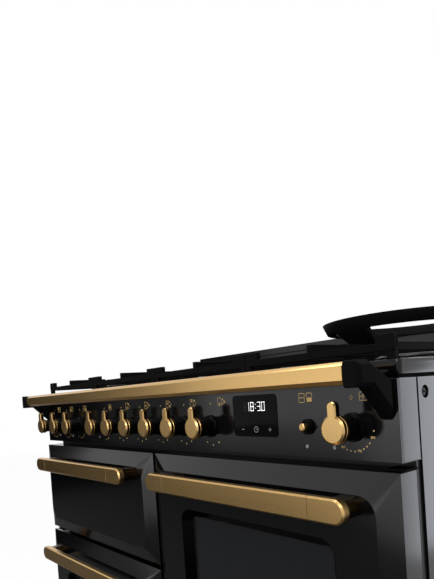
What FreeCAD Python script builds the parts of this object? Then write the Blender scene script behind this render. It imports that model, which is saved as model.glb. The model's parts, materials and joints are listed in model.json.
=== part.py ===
import FreeCAD, Part
import math
import os
import re
import Sketcher

# Dual fuel range cooker, +Z up, +X to the right, front towards -Y, millimetres
os.makedirs("parts", exist_ok=True)
doc = FreeCAD.newDocument("cooker")
sheet = doc.addObject("Spreadsheet::Sheet", "Sizes")

SIZES = {
    "wide": 1092, "deep": 591, "tall": 905, "rail_reach": 71,
    "panel_drop": 126, "panel_tall": 102.3, "panel_deep": 43.7, "panel_glass": 3, "panel_plate": 2,
    "side_start": 45.7, "side_wall": 5, "back_wall": 4, "base_lift": 60, "base_thick": 4,
    "screw_low": 92, "screw_rise": 83.5, "screw_in": 16, "recess_r": 8.3, "recess_deep": 4,
    "screw_r": 6.5, "screw_thick": 2.5,
    "frame_front": 36, "frame_edge": 3, "cavity_in": 45, "cavity_out": 46, "cavity_end": 181,
    "liner": 2,
    "grill_drop": 204, "grill_tall": 170, "left_drop": 279, "right_drop": 44, "left_low": 150,
    "right_low": 335,
    "bay_low": 120, "bay_tall": 155,
    "plinth_in": 6, "plinth_start": 32, "plinth_lift": 12, "plinth_top": 106,
    "foot_r": 22, "foot_tall": 10, "stem_r": 8, "stem_top": 95, "foot_in": 34, "foot_gap": 0.3,
    "service_wide": 130, "service_tall": 90, "service_deep": 3,
    "gland_r": 12, "inlet_r": 10.5, "stub_long": 2.6, "stub_apart": 36,
    "display_z": 60.1, "display_wide": 99, "display_tall": 65.2, "display_round": 7,
    "display_thick": 0.8,
    "lens_r": 2.7, "lens_thick": 1.2, "lens_z": 16,
    "control_z": 43.6, "collar_r": 11, "collar_step": 8.8, "collar_low": 4,
    "collar_tall": 7,
    "button_r": 5.8, "button_gap": 0.4, "button_start": 3, "button_tip": 15, "button_round": 2.4,
    "cap_out": 3, "rail_front": 66, "rail_deep": 22, "rail_low": 98.6, "rail_tall": 27,
    "rail_bevel": 4.9,
    "cap_reach": 71, "cap_low": 94.6, "cap_top": 126, "cap_deep": 27, "cap_wide": 26,
    "cap_bevel": 5.5,
    "foot_top": 101, "foot_low": 52.5, "foot_edge": 2, "arm_under": 44,
    "tray_start": 7, "tray_low": 107.4, "tray_rim": 14, "tray_dip": 6, "tray_floor": 2,
    "skirt_in": 6,
    "skirt_wall": 10,
    "upstand_deep": 34, "upstand_face": 198, "upstand_gap": 3, "upstand_top": 218,
    "upstand_lip": 10,
    "upstand_in": 4, "upstand_wall": 5,
    "hob_in": 6, "support_gap": 2, "support_in": 45, "support_front": 10, "rib_wide": 9,
    "bar_low": 137, "bar_top": 147,
    "support_top": 158, "post_wide": 27, "finger_gap": 6, "leg": 12, "rib_drop": 7,
    "head_low": 8, "head_tall": 15, "head_lip": 4, "cap_float": 0.3, "cap_thick": 7, "cap_edge": 4,
    "cap_slope": 5,
    "burner_small": 24, "burner_medium": 36, "burner_rapid": 44, "burner_wok": 60,
    "ring_wall": 15, "ring_low": 185.5, "ring_high": 203, "ring_lean": 8,
    "ring_leg": 9, "leg_span": 30, "leg_turn": -12,
    "tap_r": 12, "pipe_r": 9, "pipe_back": 75, "pipe_over": 31.5, "switch_half": 16,
    "switch_back": 52,
    "door_gap": 7.7, "door_edge": 4.5, "door_field": 17.2, "door_back": 32.3, "door_shell": 30.3,
    "door_skin": 3,
    "door_border": 29.2, "field_round": 27, "corner_round": 0.8, "door_drop": 11.3,
    "door_bottom": 112,
    "cell_gap": 10.2,
    "grill_door": 225.5, "drawer_tall": 170, "shell_in": 1,
    "window_in": 94.2, "window_side": 96.075, "window_round": 24, "bezel": 15.5, "bezel_sink": 0.4,
    "pane": 4, "pane_gap": 0.3,
    "handle_in": 45.2, "handle_half": 16.4, "handle_drop": 43.8, "handle_front": 58.9,
    "handle_thick": 13,
    "handle_bevel": 3.4, "post_long": 40, "post_half": 13,
    "bin_in": 3, "bin_low": 128, "bin_tall": 110, "bin_end": 211, "bin_wall": 2, "runner_wide": 12,
    "run_gap": 0.3,
    "shelf_wire": 5, "shelf_front": 20, "shelf_end": 40,
    "shelf_grill": 90,
    "shelf_left": 175, "shelf_right": 200,
    "leaf_wide": 30, "leaf_thick": 2, "leaf_front": 7, "leaf_gap": 0.5, "pin_r": 2.5,
    "pin_long": 20, "pin_in": 8, "pin_drop": 6, "hinge_in": 16,
    "knob_z": 43.4,
    "knob_float": 0.3, "skirt_r": 19, "skirt_tall": 4, "body_r": 15.6, "body_tall": 29.5,
    "cap_r": 18.4,
    "cap_face": 15.9,
    "cap_start": 29.5, "cap_bevel_tall": 2.4, "knob_reach": 42.9, "pointer": 35.5, "tab_half": 6.2,
    "tab_thick": 9.5,
}
for row, (name, size) in enumerate(SIZES.items(), 1):
    sheet.set(f"A{row}", name)
    sheet.set(f"B{row}", str(size))
    sheet.setAlias(f"B{row}", name)
doc.recompute()

# Front face and lower edge of the control panel, the two data of the whole cooker
FRONT = "((rail_reach - deep) / 2)"
LOW = "(tall - panel_drop)"

# Places across the front as shares of the width, from the middle
KNOB_SHARES = (-0.455495, -0.383728, -0.311960, -0.190659, -0.118892, -0.047125, 0.024643,
               0.096410, 0.168177, 0.438324)
LENS_SHARES = (-0.427015, -0.353571, -0.216484, 0.366484, 0.410165)
DISPLAY_SHARE = 0.270696
BUTTON_SHARE = 0.369597
SERVICE_SHARE = 0.366300
OUTLET_SHARE = 0.364641
KNOBS = [f"(wide * {share})" for share in KNOB_SHARES]
LENSES = [f"(wide * {share})" for share in LENS_SHARES]

# Burner rows as shares of the depth, ring sizes as shares of a pan support
ROW_SHARES = (0.241963, 0.683587)
RING_SHARE = 0.54
RING_FOOT_SHARE = 0.385185
ROWS = [f"(deep * {share})" for share in ROW_SHARES]
MID = f"(({ROWS[0]} + {ROWS[1]}) / 2)"
COLUMN = "((wide - 2 * hob_in) / 4)"
RING_R = f"({COLUMN} * {RING_SHARE})"
RING_FOOT = f"({COLUMN} * {RING_FOOT_SHARE})"

# Cavities, rail and doors follow the outside of the cooker
CAVITY_WIDE = "(wide / 2 - cavity_in - cavity_out)"
CAVITY_DEEP = "(deep - cavity_end)"
GRILL_LOW = f"({LOW} - grill_drop)"
LEFT_TALL = f"({LOW} - left_drop - left_low)"
RIGHT_TALL = f"({LOW} - right_drop - right_low)"
RAIL_HALF = "(wide / 2 - cap_wide - cap_out)"
HALF = "((wide - door_gap) / 4)"
WINDOW_HALF = f"({HALF} - window_side)"

# Two lengths nearer than this are the same edge
SAME = 0.000001
nodes = []


def linked(text):
    return re.sub(r"[a-z]\w*", lambda word: "Sizes." + word.group(), text)


def value(text):
    return plain(re.sub(r"[a-z]\w*", lambda word: repr(SIZES[word.group()]), text))


def plain(text):
    return FreeCAD.Units.Quantity(text).Value


def bind(item, prop, text):
    item.setExpression(prop, linked(text))
    return item


def place(item, corner):
    for axis, text in zip("xyz", corner):
        bind(item, f"Placement.Base.{axis}", text)
    return item


def box(name, corner, size):
    item = doc.addObject("Part::Box", name)
    for prop, text in zip(("Length", "Width", "Height"), size):
        bind(item, prop, text)
    return place(item, corner)


TURN = {
    "z": FreeCAD.Rotation(0, 0, 0, 1),
    "x": FreeCAD.Rotation(FreeCAD.Vector(0, 1, 0), 90),
    "y": FreeCAD.Rotation(FreeCAD.Vector(1, 0, 0), -90),
    "front": FreeCAD.Rotation(FreeCAD.Vector(1, 0, 0), 90),
}


def rod(name, start, radius, length, axis="z"):
    item = doc.addObject("Part::Cylinder", name)
    bind(item, "Radius", radius)
    bind(item, "Height", length)
    item.Placement.Rotation = TURN[axis]
    return place(item, start)


def cone(name, start, low, high, length):
    item = doc.addObject("Part::Cone", name)
    bind(item, "Radius1", low)
    bind(item, "Radius2", high)
    bind(item, "Height", length)
    return place(item, start)


def group(name, pieces):
    item = doc.addObject("Part::Compound", name)
    item.Links = pieces
    return item


def fuse(name, pieces):
    item = doc.addObject("Part::MultiFuse", name)
    item.Shapes = pieces
    return item


def cut(name, base, tool):
    item = doc.addObject("Part::Cut", name)
    item.Base = base
    item.Tool = tool
    return item


def node(label, item):
    item.Label = label
    nodes.append(item)
    return item


def sketch(body, name, plane, lift="0"):
    item = body.newObject("Sketcher::SketchObject", name)
    origin = [o for o in body.Origin.OriginFeatures if o.Name.startswith(plane)]
    item.AttachmentSupport = (origin[0], [""])
    item.MapMode = "FlatFace"
    bind(item, "AttachmentOffset.Base.z", lift)
    return item


# Closed outline through points given as pairs of size expressions
def outline(item, points):
    spots = [FreeCAD.Vector(value(a), value(b), 0) for a, b in points]
    for i, spot in enumerate(spots):
        item.addGeometry(Part.LineSegment(spot, spots[(i + 1) % len(spots)]))
    for i, (a, b) in enumerate(points):
        item.addConstraint(Sketcher.Constraint("Coincident", i, 2, (i + 1) % len(spots), 1))
        for kind, text in (("DistanceX", a), ("DistanceY", b)):
            index = item.addConstraint(Sketcher.Constraint(kind, -1, 1, i, 1, value(text)))
            bind(item, f"Constraints[{index}]", text)
    return item


# Rectangle about the sketch origin with rounded corners
def rounded(item, half_x, half_y, radius):
    a, b, r = value(half_x), value(half_y), value(radius)
    turn = (("+", "+"), ("-", "+"), ("-", "-"), ("+", "-"))
    quarter = math.pi / 2
    for i, (sx, sy) in enumerate(turn):
        centre = FreeCAD.Vector((a - r) * (1 if sx == "+" else -1),
                                (b - r) * (1 if sy == "+" else -1), 0)
        circle = Part.Circle(centre, FreeCAD.Vector(0, 0, 1), r)
        item.addGeometry(Part.ArcOfCircle(circle, i * quarter, (i + 1) * quarter))
    ends = [(item.getPoint(i, 2), item.getPoint((i + 1) % 4, 1)) for i in range(4)]
    for start, stop in ends:
        item.addGeometry(Part.LineSegment(start, stop))
    rules = []
    for i in range(4):
        rules.append(Sketcher.Constraint("Tangent", i, 2, 4 + i, 1))
        rules.append(Sketcher.Constraint("Tangent", 4 + i, 2, (i + 1) % 4, 1))
    for i in range(3):
        rules.append(Sketcher.Constraint("Equal", 0, i + 1))
    item.addConstraint(rules)
    index = item.addConstraint(Sketcher.Constraint("Radius", 0, r))
    bind(item, f"Constraints[{index}]", radius)
    for line, kind, text in ((4, "DistanceY", half_y), (5, "DistanceX", f"-({half_x})"),
                             (6, "DistanceY", f"-({half_y})"), (7, "DistanceX", half_x)):
        size = value(text)
        index = item.addConstraint(Sketcher.Constraint(kind, -1, 1, line, 1, size))
        bind(item, f"Constraints[{index}]", text)
    return item


def body(name):
    return doc.addObject("PartDesign::Body", name)


def pad(solid, name, profile, length, kind="PartDesign::Pad"):
    item = solid.newObject(kind, name)
    item.Profile = profile
    bind(item, "Length", length)
    solid.Tip = item
    return item


def loft(solid, name, profile, section, kind="PartDesign::AdditiveLoft"):
    item = solid.newObject(kind, name)
    item.Profile = profile
    item.Sections = [section]
    item.Ruled = True
    solid.Tip = item
    return item


def spin(solid, name, profile, angle=None):
    item = solid.newObject("PartDesign::Revolution", name)
    item.Profile = profile
    item.ReferenceAxis = (profile, ["V_Axis"])
    if angle:
        item.Midplane = True
        bind(item, "Angle", angle)
    solid.Tip = item
    return item


# Chamfer or fillet on the edges of the last feature that pass a test
def dress(solid, name, kind, size, test):
    doc.recompute()
    base = solid.Tip
    picked = [f"Edge{i + 1}" for i, edge in enumerate(base.Shape.Edges) if test(edge)]
    item = solid.newObject(kind, name)
    item.Base = (base, picked)
    bind(item, "Size" if kind.endswith("Chamfer") else "Radius", size)
    solid.Tip = item
    return item


def tray_of_plates(name, low, size, wall, open_side):
    x, y, z = low
    dx, dy, dz = size
    plates = [
        box(name + "_floor", (x, y, f"{z} - {wall}"), (dx, dy, wall)),
        box(name + "_left", (f"{x} - {wall}", y, f"{z} - {wall}"), (wall, dy, f"{dz} + {wall}")),
        box(name + "_right", (f"{x} + {dx}", y, f"{z} - {wall}"), (wall, dy, f"{dz} + {wall}")),
        box(name + "_back", (f"{x} - {wall}", f"{y} + {dy}", f"{z} - {wall}"),
            (f"{dx} + 2 * {wall}", wall, f"{dz} + {wall}")),
    ]
    if open_side == "front":
        top = (f"{x} - {wall}", y, f"{z} + {dz}")
        plates.append(box(name + "_top", top, (f"{dx} + 2 * {wall}", f"{dy} + {wall}", wall)))
    else:
        front = (f"{x} - {wall}", f"{y} - {wall}", f"{z} - {wall}")
        plates.append(box(name + "_front", front, (f"{dx} + 2 * {wall}", wall, f"{dz} + {wall}")))
    return group(name, plates)


# Side walls with a sunk screw near the top and one near the bottom
def side_walls():
    heads = []
    for side, name in ((-1, "left"), (1, "right")):
        inner = "- wide / 2" if side < 0 else "wide / 2 - side_wall"
        wall = box(f"wall_{name}", (inner, f"{FRONT} + side_start", "base_lift"),
                   ("side_wall", "deep - side_start", f"{LOW} + panel_tall - base_lift"))
        tools = []
        for spot, height in (("low", "screw_low"), ("high", f"{LOW} + screw_rise")):
            at = f"{FRONT} + side_start + screw_in"
            start = "- wide / 2" if side < 0 else "wide / 2 - recess_deep"
            tools.append(rod(f"recess_{name}_{spot}", (start, at, height), "recess_r",
                             "recess_deep", "x"))
            start = "- wide / 2 + recess_deep - screw_thick" if side < 0 else "wide / 2 - recess_deep"
            heads.append(rod(f"head_{name}_{spot}", (start, at, height), "screw_r", "screw_thick",
                             "x"))
        node(f"side_panel_{name}", cut(f"side_panel_{name}", wall, fuse(f"recesses_{name}", tools)))
    node("side_screws", group("side_screws", heads))


def carcass():
    inside = "wide - 2 * side_wall"
    left = "- wide / 2 + side_wall"
    back = f"{FRONT} + deep"
    wall = box("back_wall_plate", (left, f"{back} - back_wall", "base_lift"),
               (inside, "back_wall", f"{LOW} + panel_tall - base_lift"))
    across, height = f"(wide * {SERVICE_SHARE})", f"(tall * {OUTLET_SHARE})"
    sink = box("service_recess", (f"{across} - service_wide / 2", f"{back} - service_deep", height),
               ("service_wide", "service_deep", "service_tall"))
    stubs = [cut("back_sheet", wall, sink)]
    for i, (sign, radius) in enumerate((("-", "gland_r"), ("+", "inlet_r"))):
        spot = (f"{across} {sign} stub_apart", f"{back} - service_deep",
                f"{height} + service_tall / 2")
        stubs.append(rod(f"service_stub_{i}", spot, radius, "stub_long", "y"))
    node("back_panel", group("back_panel", stubs))
    plate = box("base_plate", (left, f"{FRONT} + side_start", "base_lift"),
                (inside, "deep - side_start - back_wall", "base_thick"))
    holes, feet = [], []
    for i, (sx, sy) in enumerate(((-1, 0), (1, 0), (-1, 1), (1, 1))):
        x = f"{sx} * (wide / 2 - foot_in)"
        y = f"{FRONT} + deep - foot_in" if sy else f"{FRONT} + side_start + foot_in"
        holes.append(rod(f"foot_hole_{i}", (x, y, "base_lift"), "stem_r + foot_gap", "base_thick"))
        feet.append(rod(f"foot_pad_{i}", (x, y, "0"), "foot_r", "foot_tall"))
        feet.append(rod(f"foot_stem_{i}", (x, y, "foot_tall"), "stem_r", "stem_top - foot_tall"))
    chassis = [cut("base_sheet", plate, fuse("foot_holes", holes))]
    for i, x in enumerate(("cavity_in + bin_in",
                           f"cavity_in + {CAVITY_WIDE} - bin_in - runner_wide")):
        chassis.append(box(f"runner_{i}", (x, f"{FRONT} + side_start", "base_lift + base_thick"),
                           ("runner_wide", "deep - bin_end",
                            "bin_low - run_gap - base_lift - base_thick")))
    node("base_frame", group("base_frame", chassis))
    node("levelling_feet", group("levelling_feet", feet))
    node("plinth", box("plinth", ("- wide / 2 + plinth_in", f"{FRONT} + plinth_start",
                                  "plinth_lift"),
                       ("wide - 2 * plinth_in", "frame_front - plinth_start",
                        "plinth_top - plinth_lift")))


# Stiles and rails around the three cavities and the drawer bay
def front_frame():
    y, dy = f"{FRONT} + frame_front", "side_start - frame_front"
    stile = f"wide / 2 - frame_edge - cavity_in - {CAVITY_WIDE}"
    high = f"{LOW} - base_lift"
    bars = [
        box("stile_left", ("- wide / 2 + frame_edge", y, "base_lift"), (stile, dy, high)),
        box("stile_mid", ("- cavity_in", y, "base_lift"), ("2 * cavity_in", dy, high)),
        box("stile_right", (f"cavity_in + {CAVITY_WIDE}", y, "base_lift"), (stile, dy, high)),
    ]
    levels = {
        f"- cavity_in - {CAVITY_WIDE}": ("base_lift", "left_low", f"left_low + {LEFT_TALL}",
                                         GRILL_LOW,
                                      f"{GRILL_LOW} + grill_tall", LOW),
        "cavity_in": ("base_lift", "bay_low", "bay_low + bay_tall", "right_low",
                      f"right_low + {RIGHT_TALL}", LOW),
    }
    for x, edges in levels.items():
        for i in (0, 2, 4):
            size = (CAVITY_WIDE, dy, f"{edges[i + 1]} - ({edges[i]})")
            bars.append(box(f"rail_{len(bars)}", (x, y, edges[i]), size))
    node("front_frame", group("front_frame", bars))


def liners():
    for label, x, low, high in (("grill_liner", f"- cavity_in - {CAVITY_WIDE}", GRILL_LOW,
                                 "grill_tall"),
                                ("left_oven_liner", f"- cavity_in - {CAVITY_WIDE}", "left_low",
                                 LEFT_TALL),
                                ("right_oven_liner", "cavity_in", "right_low", RIGHT_TALL)):
        low_corner = (x, f"{FRONT} + side_start", low)
        node(label, tray_of_plates(label, low_corner, (CAVITY_WIDE, CAVITY_DEEP, high), "liner",
                                   "front"))


# Wire shelves: side rods held by the liner walls and cross rods between them
def shelves():
    bars = []
    y = f"{FRONT} + side_start + shelf_front"
    long = f"({CAVITY_DEEP} - shelf_front - shelf_end)"
    rod_count = 11
    for x, low, rise in ((f"- cavity_in - {CAVITY_WIDE}", GRILL_LOW, "shelf_grill"),
                         (f"- cavity_in - {CAVITY_WIDE}", "left_low", "shelf_left"),
                         ("cavity_in", "right_low", "shelf_right")):
        z = f"{low} + {rise}"
        for side in ("0", f"{CAVITY_WIDE} - shelf_wire"):
            bars.append(box(f"shelf_{len(bars)}", (f"{x} + {side}", y, z),
                            ("shelf_wire", long, "shelf_wire")))
        for i in range(rod_count):
            start = (f"{x} + shelf_wire", f"{y} + {i} * ({long} - shelf_wire) / {rod_count - 1}", z)
            bars.append(box(f"shelf_{len(bars)}", start,
                            (f"{CAVITY_WIDE} - 2 * shelf_wire", "shelf_wire", "shelf_wire")))
    node("oven_shelves", group("oven_shelves", bars))


def control_panel():
    y = f"{FRONT} + panel_glass"
    left, deep_in = "- wide / 2", "panel_deep - panel_glass - panel_plate"
    plates = [
        box("panel_face", (left, y, LOW), ("wide", "panel_plate", "panel_tall")),
        box("panel_floor", (left, f"{y} + panel_plate", LOW), ("wide", deep_in, "panel_plate")),
        box("panel_roof", (left, f"{y} + panel_plate", f"{LOW} + panel_tall - panel_plate"),
            ("wide", deep_in, "panel_plate")),
    ]
    for i, x in enumerate((left, "wide / 2 - panel_plate")):
        plates.append(box(f"panel_end_{i}", (x, f"{y} + panel_plate", f"{LOW} + panel_plate"),
                          ("panel_plate", deep_in, "panel_tall - 2 * panel_plate")))
    node("fascia_box", group("fascia_box", plates))
    node("fascia_glass", box("fascia_glass", (left, FRONT, LOW), ("wide", "panel_glass",
                                                                  "panel_tall")))
    lens = []
    for i, x in enumerate(LENSES):
        lens.append(rod(f"lens_{i}", (x, FRONT, f"{LOW} + lens_z"), "lens_r", "lens_thick",
                        "front"))
    node("indicator_lenses", group("indicator_lenses", lens))


def display():
    solid = node("clock_display", body("clock_display"))
    shape = rounded(sketch(solid, "display_outline", "XZ"), "display_wide / 2", "display_tall / 2",
                    "display_round")
    pad(solid, "display_pad", shape, "display_thick")
    place(solid, (f"wide * {DISPLAY_SHARE}", FRONT, f"{LOW} + display_z"))


def push_button():
    solid = node("button_collar", body("button_collar"))
    bore = "button_r + button_gap"
    points = ((bore, "0"), ("collar_r", "0"), ("collar_r", "collar_low"),
              ("collar_step", "collar_low"),
              ("collar_step", "collar_tall"), (bore, "collar_tall"))
    spin(solid, "collar_spin", outline(sketch(solid, "collar_outline", "XZ"), points))
    solid.Placement.Rotation = TURN["front"]
    place(solid, (f"wide * {BUTTON_SHARE}", FRONT, f"{LOW} + control_z"))
    solid = node("light_button", body("light_button"))
    points = (("0", "button_start"), ("button_r", "button_start"), ("button_r", "button_tip"),
              ("0", "button_tip"))
    spin(solid, "button_spin", outline(sketch(solid, "button_outline", "XZ"), points))
    tip = value("button_tip")
    dress(solid, "button_edge", "PartDesign::Fillet", "button_round",
          lambda edge: abs(edge.BoundBox.ZMin - tip) < SAME and abs(edge.BoundBox.ZMax - tip) < SAME)
    solid.Placement.Rotation = TURN["front"]
    place(solid, (f"wide * {BUTTON_SHARE}", FRONT, f"{LOW} + control_z"))


def handrail():
    solid = node("handrail_bar", body("handrail_bar"))
    points = [("- rail_front", "rail_low"), ("rail_deep - rail_front", "rail_low"),
              ("rail_deep - rail_front", "rail_low + rail_tall"), ("- rail_front",
                                                                   "rail_low + rail_tall")]
    feature = pad(solid, "rail_pad", outline(sketch(solid, "rail_outline", "YZ"), points),
                  f"2 * {RAIL_HALF}")
    feature.Midplane = True
    dress(solid, "rail_edges", "PartDesign::Chamfer", "rail_bevel",
          lambda edge: edge.BoundBox.XLength > value(RAIL_HALF))
    place(solid, ("0", FRONT, LOW))
    for side, name in ((-1, "left"), (1, "right")):
        solid = node(f"rail_bracket_{name}", body(f"rail_bracket_{name}"))
        points = (("- cap_reach", "cap_low"), ("- arm_under", "cap_low"),
                  ("- foot_edge", "foot_low"),
                  ("0", "foot_low"), ("0", "foot_top"), ("cap_deep - cap_reach", "cap_top"),
                  ("- cap_reach", "cap_top"))
        feature = pad(solid, f"arm_{name}", outline(sketch(solid, f"arm_outline_{name}", "YZ"),
                                                    points), "cap_wide")
        highest_flat = value("foot_top + cap_bevel")
        dress(solid, f"arm_edges_{name}", "PartDesign::Chamfer", "cap_bevel",
              lambda edge: edge.BoundBox.XLength < SAME and edge.BoundBox.ZMax > highest_flat)
        place(solid, (RAIL_HALF if side > 0 else f"- {RAIL_HALF} - cap_wide", FRONT, LOW))


# Hob tray: rim, sunk floor and the skirt it stands on
def hob():
    left, y = "- wide / 2", f"{FRONT} + tray_start"
    long = "deep - tray_start - upstand_deep"
    high = "panel_drop - tray_low"
    z = f"{LOW} + tray_low"
    inner = "wide - 2 * tray_rim"
    parts = [
        box("rim_front", (left, y, z), ("wide", "tray_rim", high)),
        box("rim_back", (left, f"{y} + {long} - tray_rim", z), ("wide", "tray_rim", high)),
        box("rim_left", (left, f"{y} + tray_rim", z), ("tray_rim", f"{long} - 2 * tray_rim", high)),
        box("rim_right", ("wide / 2 - tray_rim", f"{y} + tray_rim", z),
            ("tray_rim", f"{long} - 2 * tray_rim", high)),
        box("tray_floor_plate",
            (f"{left} + tray_rim", f"{y} + tray_rim", "tall - tray_dip - tray_floor"),
            (inner, f"{long} - 2 * tray_rim", "tray_floor")),
    ]
    low = f"{LOW} + panel_tall"
    gap = "tray_low - panel_tall"
    parts.append(box("skirt_front", (f"{left} + skirt_in", f"{y} + skirt_in", low),
                     ("wide - 2 * skirt_in", "skirt_wall - skirt_in", gap)))
    for i, x in enumerate((f"{left} + skirt_in", "wide / 2 - skirt_wall")):
        parts.append(box(f"skirt_side_{i}", (x, f"{y} + skirt_wall", low),
                         ("skirt_wall - skirt_in", f"{long} - skirt_wall", gap)))
    node("hob_tray", group("hob_tray", parts))
    back = f"{FRONT} + deep"
    rise = "upstand_face - panel_tall"
    shell = []
    for i, y in enumerate((f"{back} - upstand_deep", f"{back} - upstand_wall")):
        shell.append(box(f"upstand_sheet_{i}", (left, y, low), ("wide", "upstand_wall", rise)))
    for i, x in enumerate((left, "wide / 2 - upstand_wall")):
        spot = (x, f"{back} - upstand_deep + upstand_wall", low)
        shell.append(box(f"upstand_end_{i}", spot,
                         ("upstand_wall", "upstand_deep - 2 * upstand_wall", rise)))
    slot = box("upstand_neck", (f"{left} + upstand_in", f"{back} - upstand_deep + upstand_in",
                                f"{LOW} + upstand_face"),
               ("wide - 2 * upstand_in", "upstand_deep - 2 * upstand_in", "upstand_gap"))
    crown = box("upstand_crown", (left, f"{back} - upstand_deep - upstand_lip",
                                  f"{LOW} + upstand_face + upstand_gap"),
                ("wide", "upstand_deep + upstand_lip", "upstand_top - upstand_face - upstand_gap"))
    node("rear_upstand", group("rear_upstand", shell + [slot, crown]))


BURNERS = (
    (f"- {COLUMN} * 3 / 2", ROWS[0], "burner_small"), (f"- {COLUMN} * 3 / 2", ROWS[1],
                                                       "burner_medium"),
    (f"- {COLUMN} / 2", MID, "burner_rapid"), (f"{COLUMN} / 2", MID, "burner_medium"),
    (f"{COLUMN} * 3 / 2", MID, "burner_wok"),
)


def burners():
    floor = "tall - tray_dip"
    heads = []
    for i, (x, y, r) in enumerate(BURNERS):
        y = f"{FRONT} + {y}"
        heads.append(cone(f"head_base_{i}", (x, y, floor), f"{r} + head_lip * 2",
                          f"{r} + head_lip", "head_low"))
        heads.append(rod(f"head_crown_{i}", (x, y, f"{floor} + head_low"), r,
                         "head_tall - head_low"))
        solid = node(f"burner_cap_{i + 1}", body(f"burner_cap_{i + 1}"))
        rim = f"{r} + head_lip / 2"
        points = (("0", "0"), (rim, "0"), (rim, "cap_edge"), (f"{rim} - cap_slope", "cap_thick"),
                  ("0", "cap_thick"))
        spin(solid, f"cap_spin_{i}", outline(sketch(solid, f"cap_outline_{i}", "XZ"), points))
        place(solid, (x, y, f"{floor} + head_tall + cap_float"))
    node("burner_heads", group("burner_heads", heads))


# One cast support: frame, corner posts, legs and fingers pointing at each burner
def pan_support(number, centre, burners):
    bars = []
    half = f"({COLUMN} / 2 - support_gap / 2)"
    front, back = f"({FRONT} + support_front)", f"({FRONT} + deep - support_in)"
    low, high = f"{LOW} + bar_low", "bar_top - bar_low"
    top, rise = f"{LOW} + bar_top", "support_top - bar_top"
    left, right = f"({centre} - {half})", f"({centre} + {half})"

    def add(corner, size):
        bars.append(box(f"support_{number}_{len(bars)}", corner, size))

    for y in (front, f"{back} - rib_wide"):
        add((left, y, low), (f"2 * {half}", "rib_wide", high))
        for x in (left, f"{right} - post_wide"):
            add((x, y, top), ("post_wide", "rib_wide", rise))
        for x in (left, f"{right} - leg"):
            add((x, y, "tall"), ("leg", "rib_wide", "bar_low - panel_drop"))
    for x in (left, f"{right} - rib_wide"):
        add((x, f"{front} + rib_wide", low), ("rib_wide", f"{back} - {front} - 2 * rib_wide", high))
    if len(burners) > 1:
        middle = f"{FRONT} + {MID} - rib_wide / 2"
        add((f"{left} + rib_wide", middle, low), (f"2 * {half} - 2 * rib_wide", "rib_wide", high))
    for i, (spot, reach) in enumerate(burners):
        away = f"({reach} + head_lip + finger_gap)"
        y = f"{FRONT} + {spot}"
        span = f"{half} - {away}"
        for x in (left, f"{centre} + {away}"):
            add((x, f"{y} - rib_wide / 2", top), (span, "rib_wide", rise))
        for x in (f"{left} + rib_wide", f"{centre} + {away}"):
            add((x, f"{y} - rib_wide / 2", f"{top} - rib_drop"),
                (f"{span} - rib_wide", "rib_wide", "rib_drop"))
        start, front_rib = (f"{FRONT} + {MID}", "rib_wide / 2") if i else (front, "rib_wide")
        stop, back_rib = (back, "rib_wide") if spot in (MID, ROWS[1]) else (f"{FRONT} + {MID}",
                                                                            "rib_wide / 2")
        for y0, y1, skip, inset in ((start, f"{y} - {away}", front_rib, front_rib),
                                    (f"{y} + {away}", stop, "0", back_rib)):
            x = f"{centre} - rib_wide / 2"
            add((x, y0, top), ("rib_wide", f"({y1}) - ({y0})", rise))
            drop = f"({y1}) - ({y0}) - {inset}"
            add((x, f"{y0} + {skip}", f"{top} - rib_drop"), ("rib_wide", drop, "rib_drop"))
    node(f"pan_support_{number}", group(f"pan_support_{number}", bars))


def pan_supports():
    pan_support(1, f"(- {COLUMN} * 3 / 2)", ((ROWS[0], "burner_small"), (ROWS[1], "burner_medium")))
    pan_support(2, f"(- {COLUMN} / 2)", ((MID, "burner_rapid"),))
    pan_support(3, f"({COLUMN} / 2)", ((MID, "burner_medium"),))
    pan_support(4, f"({COLUMN} * 3 / 2)", ((MID, "burner_wok"),))


def wok_ring():
    solid = node("wok_ring", body("wok_ring"))
    low_r, inner = f"({RING_R} - ring_lean)", f"({RING_R} - ring_wall)"
    points = ((low_r, "ring_low"), (RING_R, "ring_high"), (inner, "ring_high"),
              (f"{inner} - ring_lean", "ring_low"))
    spin(solid, "rim_spin", outline(sketch(solid, "rim_outline", "XZ"), points))
    knee = "ring_low + ring_leg / 2"
    points = ((RING_FOOT, "support_top"), (low_r, "ring_low"), (low_r, knee),
              (f"{low_r} - ring_leg", knee),
              (f"{RING_FOOT} - ring_leg", "support_top"))
    legs = spin(solid, "leg_spin", outline(sketch(solid, "leg_outline", "XZ"), points), "leg_span")
    around = solid.newObject("PartDesign::PolarPattern", "leg_pattern")
    around.Originals = [legs]
    around.Axis = (solid.Origin.OriginFeatures[2], [""])
    around.Angle = 360
    around.Occurrences = 4
    solid.Tip = around
    bind(solid, "Placement.Rotation.Angle", "leg_turn")
    place(solid, (f"{COLUMN} * 3 / 2", f"{FRONT} + {MID}", LOW))


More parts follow.
